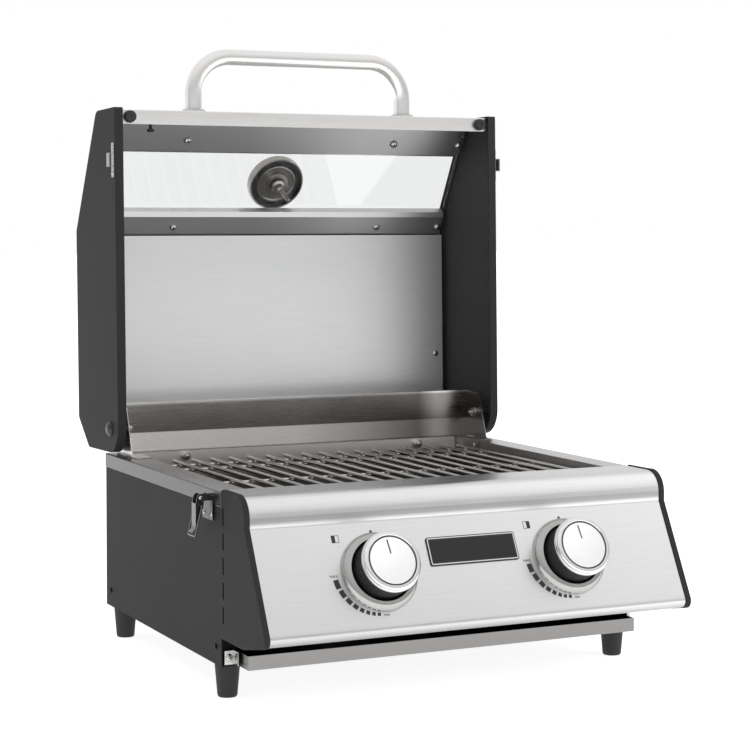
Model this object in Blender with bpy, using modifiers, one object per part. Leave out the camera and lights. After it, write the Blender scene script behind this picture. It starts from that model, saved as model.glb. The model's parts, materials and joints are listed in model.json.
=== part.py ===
"""Two-burner tabletop gas grill with a hinged window lid, shown with the lid open.

Metres, +Z up, front towards -Y, +X to the right. Z = 0 is the plane the feet stand on.
Most pieces are measured from the seam between firebox and console: they hang from an empty
there. Lid pieces hang from an empty on the hinge axis, and use its frame: X along the hinge,
Y as depth away from the lid's rim plane, Z along the open lid. Knobs hang from empties whose
+Z points out of the sloping console.
"""

import math

import bmesh
import bpy
from mathutils import Matrix, Vector

# ---------------------------------------------------------------- driving dimensions
SEAM_Y = -0.1932  # world Y of the seam; it centres the object's depth on the origin
GAP = 0.0003  # running and resting gap between neighbours
SHEET = 0.0010  # stainless sheet thickness
PANEL = 0.0012  # painted panel thickness

HALF_W = 0.2780  # firebox half width over the rim flanges
DEPTH = 0.4280  # firebox depth from the seam to the back
RIM_TOP = 0.2416
RIM_LOW = 0.2229  # lower edge of the rim's outer flange
RIM_ROUND = 0.0016
SIDE_LOW = 0.0388  # bottom of the side panels, top of the feet
OPEN_X = 0.2440  # half width of the cooking opening
OPEN_FRONT, OPEN_REAR = 0.0040, 0.4120

FOOT_X = 0.2620
FOOT_Y = (0.0210, 0.3935)
FOOT_R_TOP, FOOT_R_LOW = 0.0148, 0.0116

HINGE_Y, HINGE_Z = 0.3910, 0.2774  # lid hinge axis
HINGE_DEPTH = 0.0326  # how far the hinge lies behind the lid's rim plane
LID_LEAN = math.radians(1.3)  # the open lid leans back this far
CHEEK_X = 0.2825  # outer face of the lid's cheeks
CHEEK_FLANGE = 0.0117

KNOB_X = 0.1245
KNOB_UP_SLOPE = 0.0507  # knob centre, measured up the console slope
SLOPE_TOP = (-0.0724, 0.2078)
SLOPE_LOW = (-0.1245, 0.1091)
CAP_T = 0.0070  # thickness of the console's end caps
CONSOLE_X = HALF_W - CAP_T - 0.0005  # half width of the console sheet

ROD_R = 0.0026
ROD_COUNT = 18
ROD_PITCH = 0.02665
ROD_Z = 0.2318
GRATE_FRONT, GRATE_REAR = 0.0220, 0.3760
CROSS_RODS = (0.0430, 0.1660, 0.3090, 0.3550)

LATCH_Y = 0.0380  # middle of each draw latch, and of its catch when the lid is shut
LATCH_PIVOT = (0.2905, 0.2315)  # (|x|, z) of the lever's pin
BAIL_PIVOT = (0.2905, 0.2225)
BAIL_LENGTH = 0.03585
BAIL_REST = math.radians(14.0)  # the bail hangs this far out from the panel
BAIL_HALF = 0.0116
LATCH_PLATE = 0.0330  # length of the latch's base plate
CATCH_DEPTH = 0.0065  # how far the catch's middle lies behind the lid's rim plane
WIRE_R = 0.00115

ROUND_STEPS = 24


# ---------------------------------------------------------------- scene helpers
def clear_scene():
    for obj in list(bpy.data.objects):
        bpy.data.objects.remove(obj, do_unlink=True)


def new_collection(name):
    found = bpy.data.collections.new(name)
    bpy.context.scene.collection.children.link(found)
    return found


def make_material(name, color, roughness, metallic, alpha=1.0):
    mat = bpy.data.materials.new(name)
    mat.use_nodes = True
    shader = mat.node_tree.nodes["Principled BSDF"]
    shader.inputs["Base Color"].default_value = (*color, 1.0)
    shader.inputs["Roughness"].default_value = roughness
    shader.inputs["Metallic"].default_value = metallic
    shader.inputs["Alpha"].default_value = alpha
    mat.diffuse_color = (*color, alpha)
    return mat


def add_empty(name, parent=None, location=(0, 0, 0), rotation=(0, 0, 0)):
    empty = bpy.data.objects.new(name, None)
    empty.empty_display_size = 0.03
    PARTS.objects.link(empty)
    empty.parent = parent
    empty.location = location
    empty.rotation_euler = rotation
    return empty


def add_part(name, mesh, mat, parent, location=(0, 0, 0), rotation=(0, 0, 0)):
    obj = bpy.data.objects.new(name, mesh)
    PARTS.objects.link(obj)
    obj.parent = parent
    obj.location = location
    obj.rotation_euler = rotation
    mesh.materials.clear()
    mesh.materials.append(mat)
    return obj


def add_helper(name, mesh, parent, location=(0, 0, 0), rotation=(0, 0, 0)):
    obj = bpy.data.objects.new(name, mesh)
    CUTTERS.objects.link(obj)
    obj.parent = parent
    obj.location = location
    obj.rotation_euler = rotation
    obj.hide_render = True
    obj.display_type = "WIRE"
    return obj


def boolean(obj, mesh, operation, location=(0, 0, 0), rotation=(0, 0, 0)):
    count = len(obj.modifiers)
    helper = add_helper(f"{obj.name}_{operation.lower()}_{count}", mesh, obj.parent, location, rotation)
    modifier = obj.modifiers.new(helper.name, "BOOLEAN")
    modifier.operation = operation
    modifier.object = helper
    return helper


def cut(obj, mesh, location=(0, 0, 0), rotation=(0, 0, 0)):
    boolean(obj, mesh, "DIFFERENCE", location, rotation)


def fuse(obj, mesh, location=(0, 0, 0), rotation=(0, 0, 0)):
    boolean(obj, mesh, "UNION", location, rotation)


def bevel(obj, width, segments=2, angle=40.0):
    modifier = obj.modifiers.new("edges", "BEVEL")
    modifier.width = width
    modifier.segments = segments
    modifier.limit_method = "ANGLE"
    modifier.angle_limit = math.radians(angle)
    return modifier


def smooth(mesh, angle=35.0):
    mesh.shade_smooth()
    mesh.set_sharp_from_angle(angle=math.radians(angle))


# ---------------------------------------------------------------- mesh helpers
def finish_mesh(bm, name):
    bmesh.ops.recalc_face_normals(bm, faces=bm.faces)
    mesh = bpy.data.meshes.new(name)
    bm.to_mesh(mesh)
    bm.free()
    return mesh


def box_mesh(low, high, name="box"):
    low, high = Vector(low), Vector(high)
    bm = bmesh.new()
    bmesh.ops.create_cube(bm, size=1.0)
    bmesh.ops.scale(bm, vec=high - low, verts=bm.verts)
    bmesh.ops.translate(bm, vec=(low + high) / 2, verts=bm.verts)
    return finish_mesh(bm, name)


def boxes_mesh(pairs, name="boxes"):
    """Several boxes that don't touch, in one mesh, for use as one cutter."""
    bm = bmesh.new()
    for low, high in pairs:
        low, high = Vector(low), Vector(high)
        made = bmesh.ops.create_cube(bm, size=1.0)["verts"]
        bmesh.ops.scale(bm, vec=high - low, verts=made)
        bmesh.ops.translate(bm, vec=(low + high) / 2, verts=made)
    return finish_mesh(bm, name)


def side_box(side, x_in, x_out, y_low, y_high, z_low, z_high):
    """A box given by its distances from the middle plane; side is -1 for left, +1 for right."""
    xs = sorted((side * x_in, side * x_out))
    return box_mesh((xs[0], y_low, z_low), (xs[1], y_high, z_high))


def cylinder_mesh(radius, length, axis="Z", steps=ROUND_STEPS, name="cylinder"):
    """A cylinder centred on its own origin."""
    bm = bmesh.new()
    bmesh.ops.create_cone(
        bm, cap_ends=True, segments=steps, radius1=radius, radius2=radius, depth=length
    )
    turn = {"X": Matrix.Rotation(math.pi / 2, 3, "Y"), "Y": Matrix.Rotation(math.pi / 2, 3, "X")}
    if axis in turn:
        bmesh.ops.rotate(bm, cent=(0, 0, 0), matrix=turn[axis], verts=bm.verts)
    return finish_mesh(bm, name)


def edge_chain(bm, points, closed):
    verts = [bm.verts.new(point) for point in points]
    ends = zip(verts, verts[1:] + verts[:1]) if closed else zip(verts, verts[1:])
    return [bm.edges.new(pair) for pair in ends]


def turned_part(name, profile, mat, parent, location=(0, 0, 0), rotation=(0, 0, 0), closed=False,
                steps=ROUND_STEPS):
    """A solid of revolution about its own Z. The profile (radius, z) runs down the outer side."""
    bm = bmesh.new()
    edge_chain(bm, [(radius, 0, z) for radius, z in profile], closed)
    mesh = bpy.data.meshes.new(name)
    bm.to_mesh(mesh)
    bm.free()
    smooth(mesh)
    obj = add_part(name, mesh, mat, parent, location, rotation)
    screw = obj.modifiers.new("turn", "SCREW")
    screw.axis = "Z"
    screw.steps = steps
    screw.render_steps = steps
    screw.use_merge_vertices = True
    screw.merge_threshold = 0.00001
    return obj


def evaluated_mesh(obj):
    """The object's evaluated mesh, in its own frame; the object is removed."""
    graph = bpy.context.evaluated_depsgraph_get()
    mesh = bpy.data.meshes.new_from_object(obj.evaluated_get(graph))
    bpy.data.objects.remove(obj, do_unlink=True)
    bm = bmesh.new()
    bm.from_mesh(mesh)
    bmesh.ops.remove_doubles(bm, verts=bm.verts, dist=0.000001)
    bmesh.ops.recalc_face_normals(bm, faces=bm.faces)
    bm.to_mesh(mesh)
    bm.free()
    return mesh


def curve_object(points, dimensions, closed):
    curve = bpy.data.curves.new("guide", "CURVE")
    curve.dimensions = dimensions
    spline = curve.splines.new("POLY")
    spline.points.add(len(points) - 1)
    for slot, point in zip(spline.points, points):
        slot.co = (*point, 0.0, 1.0) if len(point) == 2 else (*point, 1.0)
    spline.use_cyclic_u = closed
    obj = bpy.data.objects.new("guide", curve)
    CUTTERS.objects.link(obj)
    return obj


def tube_mesh(points, radius, resolution=2):
    obj = curve_object(points, "3D", False)
    obj.data.bevel_depth = radius
    obj.data.bevel_resolution = resolution
    obj.data.use_fill_caps = True
    mesh = evaluated_mesh(obj)
    smooth(mesh)
    return mesh


PLANES = {
    "YZ": Matrix(((0, 0, 1), (1, 0, 0), (0, 1, 0))).to_4x4(),
    "XZ": Matrix(((1, 0, 0), (0, 0, -1), (0, 1, 0))).to_4x4(),
    "XY": Matrix.Identity(4),
}


def outline_mesh(outline, thickness, plane, offset=0.0):
    """A flat outline given depth. The plane names the outline's two axes; offset is its middle."""
    obj = curve_object(outline, "2D", True)
    obj.data.fill_mode = "BOTH"
    obj.data.extrude = thickness / 2
    mesh = evaluated_mesh(obj)
    mesh.transform(PLANES[plane] @ Matrix.Translation((0, 0, offset)))
    return mesh


def sheet_part(name, profile, x_low, x_high, mat, parent, thickness=SHEET, side=1.0):
    """A folded sheet: an open (y, z) profile swept along X, thickened to one side of it."""
    bm = bmesh.new()
    edges = edge_chain(bm, [(x_low, y, z) for y, z in profile], False)
    swept = bmesh.ops.extrude_edge_only(bm, edges=edges)["geom"]
    moved = [item for item in swept if isinstance(item, bmesh.types.BMVert)]
    bmesh.ops.translate(bm, vec=(x_high - x_low, 0, 0), verts=moved)
    mesh = bpy.data.meshes.new(name)
    bm.to_mesh(mesh)
    bm.free()
    smooth(mesh, 25.0)
    obj = add_part(name, mesh, mat, parent)
    solid = obj.modifiers.new("thickness", "SOLIDIFY")
    solid.thickness = thickness
    solid.offset = side
    solid.use_even_offset = True
    return obj


# ---------------------------------------------------------------- outline helpers
def fillet(before, corner, after, radius, steps):
    """Points of the arc that rounds a corner."""
    corner = Vector(corner)
    to_before = (Vector(before) - corner).normalized()
    to_after = (Vector(after) - corner).normalized()
    half = to_before.angle(to_after) / 2
    reach = radius / math.tan(half)
    start, end = corner + to_before * reach, corner + to_after * reach
    centre = corner + (to_before + to_after).normalized() * (radius / math.sin(half))
    sweep = (start - centre).angle_signed(end - centre)
    arm = start - centre
    return [
        tuple(centre + Matrix.Rotation(-sweep * step / steps, 2) @ arm) for step in range(steps + 1)
    ]


def rounded(corners, closed=True, steps=5):
    """An outline from corners (a, b, radius); a radius of 0 keeps the corner sharp."""
    points = []
    count = len(corners)
    for index, (a, b, radius) in enumerate(corners):
        inner = closed or 0 < index < count - 1
        if radius <= 0 or not inner:
            points.append((a, b))
            continue
        before = corners[index - 1][:2]
        after = corners[(index + 1) % count][:2]
        points.extend(fillet(before, (a, b), after, radius, steps))
    return points


def line_meet(p, along_p, q, along_q):
    """Where two lines in the plane cross, each given by a point and a direction."""
    cross = along_p.x * along_q.y - along_p.y * along_q.x
    step = (q - p).x * along_q.y - (q - p).y * along_q.x
    return p + along_p * (step / cross)


def inset(corners, distance):
    """Corners (a, b, radius) of a clockwise closed outline moved inwards; negative moves outwards."""
    count = len(corners)
    points = [Vector(corner[:2]) for corner in corners]
    lines = []
    for index in range(count):
        along = (points[(index + 1) % count] - points[index]).normalized()
        inward = Vector((along.y, -along.x))
        lines.append((points[index] + inward * distance, along))
    moved = []
    for index in range(count):
        corner = line_meet(*lines[index - 1], *lines[index])
        radius = corners[index][2]
        moved.append((corner.x, corner.y, max(radius - distance, 0.0) if radius else 0.0))
    return moved


# ---------------------------------------------------------------- materials and frames
clear_scene()
PARTS = new_collection("tabletop_gas_grill")
CUTTERS = new_collection("cutters")

STEEL = make_material("brushed_stainless", (0.70, 0.69, 0.68), 0.32, 1.0)
LINER = make_material("liner_stainless", (0.62, 0.63, 0.64), 0.35, 1.0)
GREY_STEEL = make_material("grey_stainless", (0.34, 0.34, 0.34), 0.40, 1.0)
PAINT = make_material("dark_grey_paint", (0.075, 0.075, 0.078), 0.45, 0.0)
BLACK = make_material("black_paint", (0.015, 0.015, 0.016), 0.45, 0.0)
RUBBER = make_material("black_rubber", (0.02, 0.02, 0.02), 0.70, 0.0)
PLASTIC = make_material("black_plastic", (0.012, 0.012, 0.013), 0.40, 0.0)
CHROME = make_material("knob_chrome", (0.86, 0.86, 0.87), 0.14, 1.0)
GLASS = make_material("window_glass", (0.92, 0.94, 0.94), 0.03, 0.0, 0.30)
BRASS = make_material("valve_brass", (0.62, 0.46, 0.20), 0.35, 1.0)
ZINC = make_material("zinc_steel", (0.60, 0.60, 0.58), 0.30, 1.0)
ALUMINIUM = make_material("dial_aluminium", (0.50, 0.48, 0.45), 0.38, 1.0)

SLOPE = (Vector(SLOPE_TOP) - Vector(SLOPE_LOW)).normalized()  # up the console slope, as (y, z)
KNOB_CENTRE = Vector(SLOPE_LOW) + SLOPE * KNOB_UP_SLOPE
KNOB_TILT = math.atan2(SLOPE.y, SLOPE.x)  # turns +Y to run up the slope, so +Z points out of it

BASE = add_empty("base_frame", None, (0, SEAM_Y, 0))
LID = add_empty("lid_pivot", BASE, (0, HINGE_Y, HINGE_Z), (-LID_LEAN, 0, 0))


# ---------------------------------------------------------------- firebox and base
def build_side_panel(side, name):
    outer = HALF_W - 0.0010
    inner = outer - PANEL
    top = RIM_TOP - SHEET - GAP
    front = 0.0010
    body = side_box(side, inner, outer, front, DEPTH - 0.0010, SIDE_LOW, top)
    obj = add_part(name, body, PAINT, BASE)
    fuse(obj, side_box(side, 0.2430, outer - 0.0005, front, DEPTH - 0.0030, SIDE_LOW, SIDE_LOW + PANEL))
    return obj


def build_rear_panel():
    half = HALF_W - 0.0010 - PANEL - GAP
    back = DEPTH - 0.0010
    low, high = (-half, back - PANEL, SIDE_LOW), (half, back, RIM_TOP - SHEET - GAP)
    obj = add_part("rear_panel", box_mesh(low, high), PAINT, BASE)
    slots = []
    for row in range(2):
        for column in range(9):
            x = (column - 4) * 0.046
            z = 0.120 + row * 0.040
            slots.append(((x - 0.016, back - 0.01, z - 0.003), (x + 0.016, back + 0.01, z + 0.003)))
    cut(obj, boxes_mesh(slots))
    cut(obj, cylinder_mesh(0.0105, 0.02, "Y"), (FEED_X, back, FEED_Z))
    return obj


def build_front_lower_panel():
    half = HALF_W - 0.0010 - PANEL - GAP
    low, high = (-half, 0.0020, SIDE_LOW + PANEL + GAP), (half, 0.0020 + PANEL, 0.1000)
    obj = add_part("front_lower_panel", box_mesh(low, high), BLACK, BASE)
    cut(obj, box_mesh((-0.2610, -0.02, 0.02), (0.2610, 0.02, 0.0585)))
    return obj


def build_rim_frame():
    body = box_mesh((-HALF_W, 0, RIM_LOW), (HALF_W, DEPTH, RIM_TOP))
    obj = add_part("rim_frame", body, STEEL, BASE)
    bevel(obj, RIM_ROUND, 3)
    wall = 0.0007
    cut(obj, box_mesh((-HALF_W + wall, wall, 0.20), (HALF_W - wall, DEPTH - wall, RIM_TOP - SHEET)))
    cut(obj, box_mesh((-OPEN_X, OPEN_FRONT, 0.20), (OPEN_X, OPEN_REAR, 0.30)))
    return obj


def build_firebox():
    """A tub: straight walls, then a floor that funnels down to an opening over the tray."""
    x, front, back = OPEN_X - GAP, OPEN_FRONT + GAP, OPEN_REAR - GAP
    middle = (front + back) / 2
    rings = (
        (x, back - middle, RIM_TOP - GAP),
        (x, back - middle, 0.098),
        (0.080, 0.075, 0.074),
        (0.080, 0.075, 0.066),
    )
    bm = bmesh.new()
    top = box_ring(bm, rings[0], middle)
    for ring in rings[1:]:
        top = bridge_down(bm, top, ring, middle)
    mesh = finish_mesh(bm, "firebox")
    obj = add_part("firebox", mesh, STEEL, BASE)
    solid = obj.modifiers.new("thickness", "SOLIDIFY")
    solid.thickness = SHEET
    solid.offset = -1.0
    solid.use_even_offset = True
    for side in (-1, 1):
        fuse(obj, side_box(side, 0.2290, x - 0.0004, 0.0100, 0.4060, 0.2224, 0.2238))
        cut(obj, cylinder_mesh(0.0140, 0.02, "Y"), (side * KNOB_X, front, BURNER_Z))
    return obj


def box_ring(bm, ring, middle):
    x, half_y, z = ring
    spots = ((-x, -half_y), (x, -half_y), (x, half_y), (-x, half_y))
    return edge_chain(bm, [(a, middle + b, z) for a, b in spots], True)


def bridge_down(bm, edges, ring, middle):
    """Extrudes a rectangular ring of edges and moves its new corners to the next ring's size."""
    x, half_y, z = ring
    made = bmesh.ops.extrude_edge_only(bm, edges=edges)["geom"]
    for vert in [item for item in made if isinstance(item, bmesh.types.BMVert)]:
        vert.co = (
            math.copysign(x, vert.co.x),
            middle + math.copysign(half_y, vert.co.y - middle),
            z,
        )
    return [item for item in made if isinstance(item, bmesh.types.BMEdge)]


EAR_X = 0.2641  # outer face of the hinge ears
EAR = ((0.3570, 0.2424, 0), (0.3795, 0.3050, 0.003), (0.4195, 0.3073, 0), (0.4222, 0.2670, 0),
       (0.4188, 0.2424, 0))


def build_hinge_upstand():
    foot_z = RIM_TOP + GAP
    profile = [
        (0.4128, foot_z), (0.4192, foot_z), (0.4230, 0.2670), (0.4200, 0.3063), (0.4225, 0.3066),
    ]
    half = EAR_X - 0.0006
    obj = sheet_part("hinge_upstand", profile, -half, half, STEEL, BASE, SHEET, 1.0)
    for side in (-1, 1):
        ear = outline_mesh(rounded(EAR), PANEL, "YZ", side * (EAR_X - PANEL / 2))
        fuse(obj, ear)
        tab_x = OPEN_X - GAP - SHEET - GAP
        foot = side_box(side, tab_x - PANEL, EAR_X, 0.3413, 0.3830, foot_z, foot_z + PANEL)
        fuse(obj, foot)
        tab = side_box(side, tab_x - PANEL, tab_x, 0.3413, 0.3830, 0.2285, foot_z + PANEL / 2)
        fuse(obj, tab)
        cut(obj, cylinder_mesh(0.0033, 0.006, "X"), (side * EAR_X, HINGE_Y, HINGE_Z))
    return obj


def build_hinge_bolt(side, name):
    """Domed cap outside the cheek, shaft, spacer between cheek and ear, and a nut inside the ear."""
    head = CHEEK_X + GAP
    profile = [
        (0.0, head + 0.0042), (0.0045, head + 0.0037), (0.0080, head + 0.0022), (0.0100, head),
        (0.0030, head), (0.0030, CHEEK_X - PANEL - GAP), (0.0055, CHEEK_X - PANEL - GAP),
        (0.0055, EAR_X + GAP), (0.0030, EAR_X + GAP), (0.0030, EAR_X - PANEL - GAP),
        (0.0058, EAR_X - PANEL - GAP), (0.0058, EAR_X - 0.0070), (0.0030, EAR_X - 0.0072),
        (0.0030, EAR_X - 0.0110), (0.0, EAR_X - 0.0120),
    ]
    turn = (0, side * math.pi / 2, 0)
    return turned_part(name, profile, ZINC, BASE, (0, HINGE_Y, HINGE_Z), turn, steps=12)


def build_foot(name, x, y):
    top = SIDE_LOW - GAP
    profile = [
        (0.0, top), (FOOT_R_TOP, top), (FOOT_R_LOW + 0.0002, 0.0030), (FOOT_R_LOW - 0.0012, 0.0),
        (0.0, 0.0),
    ]
    return turned_part(name, profile, RUBBER, BASE, (x, y, 0))


# ---------------------------------------------------------------- console
CONSOLE = (  # outline of the end caps as (y, z, radius), clockwise seen from the right
    (-GAP, 0.0708, 0), (-0.0620, 0.0708, 0), (-0.1368, 0.0857, 0.0100), (-0.0724, 0.2075, 0.0060),
    (-0.0720, 0.2440, 0.0260), (-GAP, 0.2440, 0),
)
SLOT_HEIGHT, SLOT_PITCH, SLOT_TOP = 0.0195, 0.0283, 0.2036


def build_console_end(side, name):
    outline = rounded(CONSOLE, steps=5)
    obj = add_part(name, outline_mesh(outline, CAP_T, "YZ", side * (HALF_W - CAP_T / 2)), PAINT, BASE)
    weld = obj.modifiers.new("weld", "WELD")
    weld.merge_threshold = 0.00001
    outer_edges(obj.data, side)
    edge = bevel(obj, 0.0042, 2)
    edge.limit_method = "WEIGHT"
    slots = []
    for row in range(5):
        z = SLOT_TOP - row * SLOT_PITCH
        slots.append(((-0.30, -0.0098, z), (0.30, -0.0056, z + SLOT_HEIGHT)))
    cut(obj, boxes_mesh(slots))
    return obj


def outer_edges(mesh, side):
    """Marks for bevelling the edges of the outer face that aren't on the seam."""
    weights = mesh.attributes.new("bevel_weight_edge", "FLOAT", "EDGE")
    for edge in mesh.edges:
        ends = [mesh.vertices[index].co for index in edge.vertices]
        outside = all(side * end.x > HALF_W - 0.0001 for end in ends)
        at_seam = all(end.y > -0.0010 for end in ends)
        weights.data[edge.index].value = 1.0 if outside and not at_seam else 0.0


def console_path():
    """The console sheet's outer line, from its rear top edge round the front to below."""
    under = inset(CONSOLE, 0.0010)
    corners = [(0.0030, under[5][1], 0), under[4], under[3], under[2]]
    slope = (Vector(under[1][:2]) - Vector(under[2][:2])).normalized()
    end = Vector(under[2][:2]) + slope * 0.0370
    return corners + [(end.x, end.y, 0)]


def build_console_panel():
    profile = rounded(console_path(), closed=False, steps=5)
    obj = sheet_part("console_panel", profile, -CONSOLE_X, CONSOLE_X, STEEL, BASE, SHEET, 1.0)
    for x in (-KNOB_X, KNOB_X):
        cut(obj, cylinder_mesh(0.0080, 0.02), (x, *KNOB_CENTRE), (KNOB_TILT, 0, 0))
    return obj


def build_console_underside():
    under = inset(CONSOLE, 0.0010)
    start = Vector(console_path()[-1][:2])
    slope = (Vector(under[1][:2]) - start).normalized()
    first = start + slope * 0.0006
    profile = [(first.x, first.y), (under[1][0], under[1][1]), (-0.0020, under[1][1])]
    return sheet_part("console_underside", profile, -CONSOLE_X, CONSOLE_X, BLACK, BASE, SHEET, 1.0)


def build_heat_shield():
    low, high = (-CONSOLE_X, -0.0120, 0.0790), (CONSOLE_X, -0.0110, 0.2350)
    obj = add_part("heat_shield", box_mesh(low, high), ZINC, BASE)
    for x in (-KNOB_X, KNOB_X):
        cut(obj, box_mesh((x - 0.018, -0.03, BURNER_Z - 0.018), (x + 0.018, 0.0, BURNER_Z + 0.018)))
    cut(obj, box_mesh((0.2500, -0.03, FEED_Z - 0.010), (0.30, 0.0, FEED_Z + 0.010)))
    return obj


def build_badge():
    """A plain raised plate between the knobs."""
    corners = [(-0.0585, -0.0175), (-0.0585, 0.0175), (0.0585, 0.0175), (0.0585, -0.0175)]
    outline = rounded([(a, b, 0.003) for a, b in corners], steps=3)
    centre = Vector(SLOPE_LOW) + SLOPE * 0.0692
    rotation = (KNOB_TILT, 0, 0)
    mesh = outline_mesh(outline, 0.0016, "XY", -0.0010 + GAP + 0.0008)
    return add_part("badge_plate", mesh, GREY_STEEL, BASE, (0, *centre), rotation)


# ---------------------------------------------------------------- gas train
BURNER_Z = 0.1200
BURNER_R = 0.0125
BURNER_FRONT, BURNER_REAR = -0.0220, 0.3900
FEED_X, FEED_Z = 0.2600, 0.1240
MANIFOLD_Y, MANIFOLD_R = -0.0830, 0.0070
VALVE_R = 0.0095


def build_manifold():
    """One pipe: along behind the console, then back past the firebox to the rear."""
    bend = 0.012
    path = [(-0.160, MANIFOLD_Y, FEED_Z), (FEED_X - bend, MANIFOLD_Y, FEED_Z)]
    for step in range(1, 6):
        turn = math.pi / 2 * step / 6
        path.append((
            FEED_X - bend + bend * math.sin(turn), MANIFOLD_Y + bend - bend * math.cos(turn), FEED_Z,
        ))
    path += [(FEED_X, MANIFOLD_Y + bend, FEED_Z), (FEED_X, DEPTH - 0.0200, FEED_Z)]
    return add_part("gas_manifold", tube_mesh(path, MANIFOLD_R, 4), BRASS, BASE)


def build_inlet():
    """Fitting that passes through the rear panel; a hose screws on behind."""
    start = -(0.0200 - GAP)
    profile = [
        (0.0, 0.0180), (0.0070, 0.0180), (0.0080, 0.0170), (0.0080, 0.0040), (0.0130, 0.0040),
        (0.0130, GAP - 0.0010), (0.0098, GAP - 0.0010), (0.0098, start), (0.0, start),
    ]
    rotation = (-math.pi / 2, 0, 0)
    return turned_part("gas_inlet", profile, BRASS, BASE, (FEED_X, DEPTH, FEED_Z), rotation, steps=18)


def build_burner(x, name):
    """A tube closed at the rear and open at the front, where gas and air go in."""
    wall = 0.0010
    length = BURNER_REAR - BURNER_FRONT
    profile = [
        (0.0, length), (BURNER_R, length), (BURNER_R, 0.0), (BURNER_R - wall, 0.0),
        (BURNER_R - wall, length - wall), (0.0, length - wall),
    ]
    rotation = (-math.pi / 2, 0, 0)
    obj = turned_part(name, profile, STEEL, BASE, (x, BURNER_FRONT, BURNER_Z), rotation, steps=16)
    ports = []
    for row in range(6):
        y = 0.070 + row * 0.052
        ports.append(((x - 0.016, y - 0.012, BURNER_Z + 0.004), (x + 0.016, y + 0.012, BURNER_Z + 0.006)))
    cut(obj, boxes_mesh(ports))
    return obj


def build_flame_tamer(x, name):
    """Ridged sheet over a burner, running front to back."""
    outline = [
        (x - 0.0560, 0.1560), (x, 0.1860), (x + 0.0560, 0.1560), (x + 0.0560, 0.1572),
        (x, 0.1872), (x - 0.0560, 0.1572),
    ]
    mesh = outline_mesh(outline, 0.3900, "XZ", -0.2080)
    return add_part(name, mesh, GREY_STEEL, BASE)


def build_knob_set(x, tag):
    frame = add_empty(f"knob_{tag}_frame", BASE, (x, *KNOB_CENTRE), (KNOB_TILT, 0, 0))
    face = -0.0010  # the console sheet's surface
    turned_part(f"bezel_{tag}", [
        (0.0388, face + 0.0100), (0.0420, face + 0.0086), (0.0458, face + 0.0050),
        (0.0470, face + 0.0022), (0.0470, face + GAP), (0.0090, face + GAP), (0.0090, face + 0.0020),
        (0.0370, face + 0.0020), (0.0370, face + 0.0094),
    ], STEEL, frame, closed=True, steps=28)
    turned_part(f"knob_skirt_{tag}", [
        (0.0043, 0.0310), (0.0330, 0.0310), (0.0340, 0.0180), (0.0351, 0.0055), (0.0330, 0.0055),
        (0.0308, 0.0275), (0.0080, 0.0275), (0.0080, 0.0075), (0.0043, 0.0075),
    ], PLASTIC, frame, closed=True, steps=28)
    turned_part(f"knob_cap_{tag}", [
        (0.0, 0.0397), (0.0274, 0.0397), (0.0280, 0.0388), (0.0294, 0.0388), (0.0302, 0.0402),
        (0.0322, 0.0402), (0.0344, 0.0390), (0.0359, 0.0364), (0.0359, 0.0330), (0.0350, 0.0313),
        (0.0, 0.0313),
    ], CHROME, frame, steps=28)
    turned_part(f"valve_stem_{tag}", [
        (0.0, 0.0300), (0.0040, 0.0300), (0.0040, -0.0300), (0.0, -0.0300),
    ], ZINC, frame, steps=16)
    valve = turned_part(f"valve_{tag}", [
        (0.0, -0.0340), (0.0045, -0.0340), (0.0045, -0.0080), (0.0070, -0.0080),
        (0.0070, -0.0180), (VALVE_R, -0.0180), (VALVE_R, -0.0400), (0.0055, -0.0480), (0.0, -0.0480),
    ], BRASS, frame, steps=18)
    nozzle = [
        (0, 0, -0.0440), (0, 0, -0.0500), (0, 0.0020, -0.0540),
        knob_local(-0.0420, BURNER_Z), knob_local(-0.0140, BURNER_Z),
    ]
    fuse(valve, tube_mesh(nozzle, 0.0035, 3))


def knob_local(y, z):
    """A point of the base frame's YZ plane in a knob's frame."""
    offset = Vector((0, y - KNOB_CENTRE.x, z - KNOB_CENTRE.y))
    return tuple(Matrix.Rotation(-KNOB_TILT, 3, "X") @ offset)


# ---------------------------------------------------------------- grease tray and grate
def build_tray():
    x, front, back, low, high = 0.2585, -0.0360, 0.3900, SIDE_LOW + PANEL + GAP, 0.0567
    obj = add_part("grease_tray", box_mesh((-x, front, low), (x, back, high)), STEEL, BASE)
    wall = 0.0010
    cut(obj, box_mesh((-x + wall, front + wall, low + wall), (x - wall, back - wall, high + 0.01)))
    return obj


def build_tray_clip(side, name):
    """Small angle on the front of the base that the tray runs beside."""
    plate = side_box(side, 0.2620, 0.2745, -0.0030, -0.0018, 0.0420, 0.0580)
    obj = add_part(name, plate, ZINC, BASE)
    fuse(obj, side_box(side, 0.2620, 0.2632, -0.0150, -0.0020, 0.0420, 0.0580))
    cut(obj, cylinder_mesh(0.0022, 0.01, "Y", 12), (side * 0.2685, -0.0024, 0.0500))
    return obj


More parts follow.
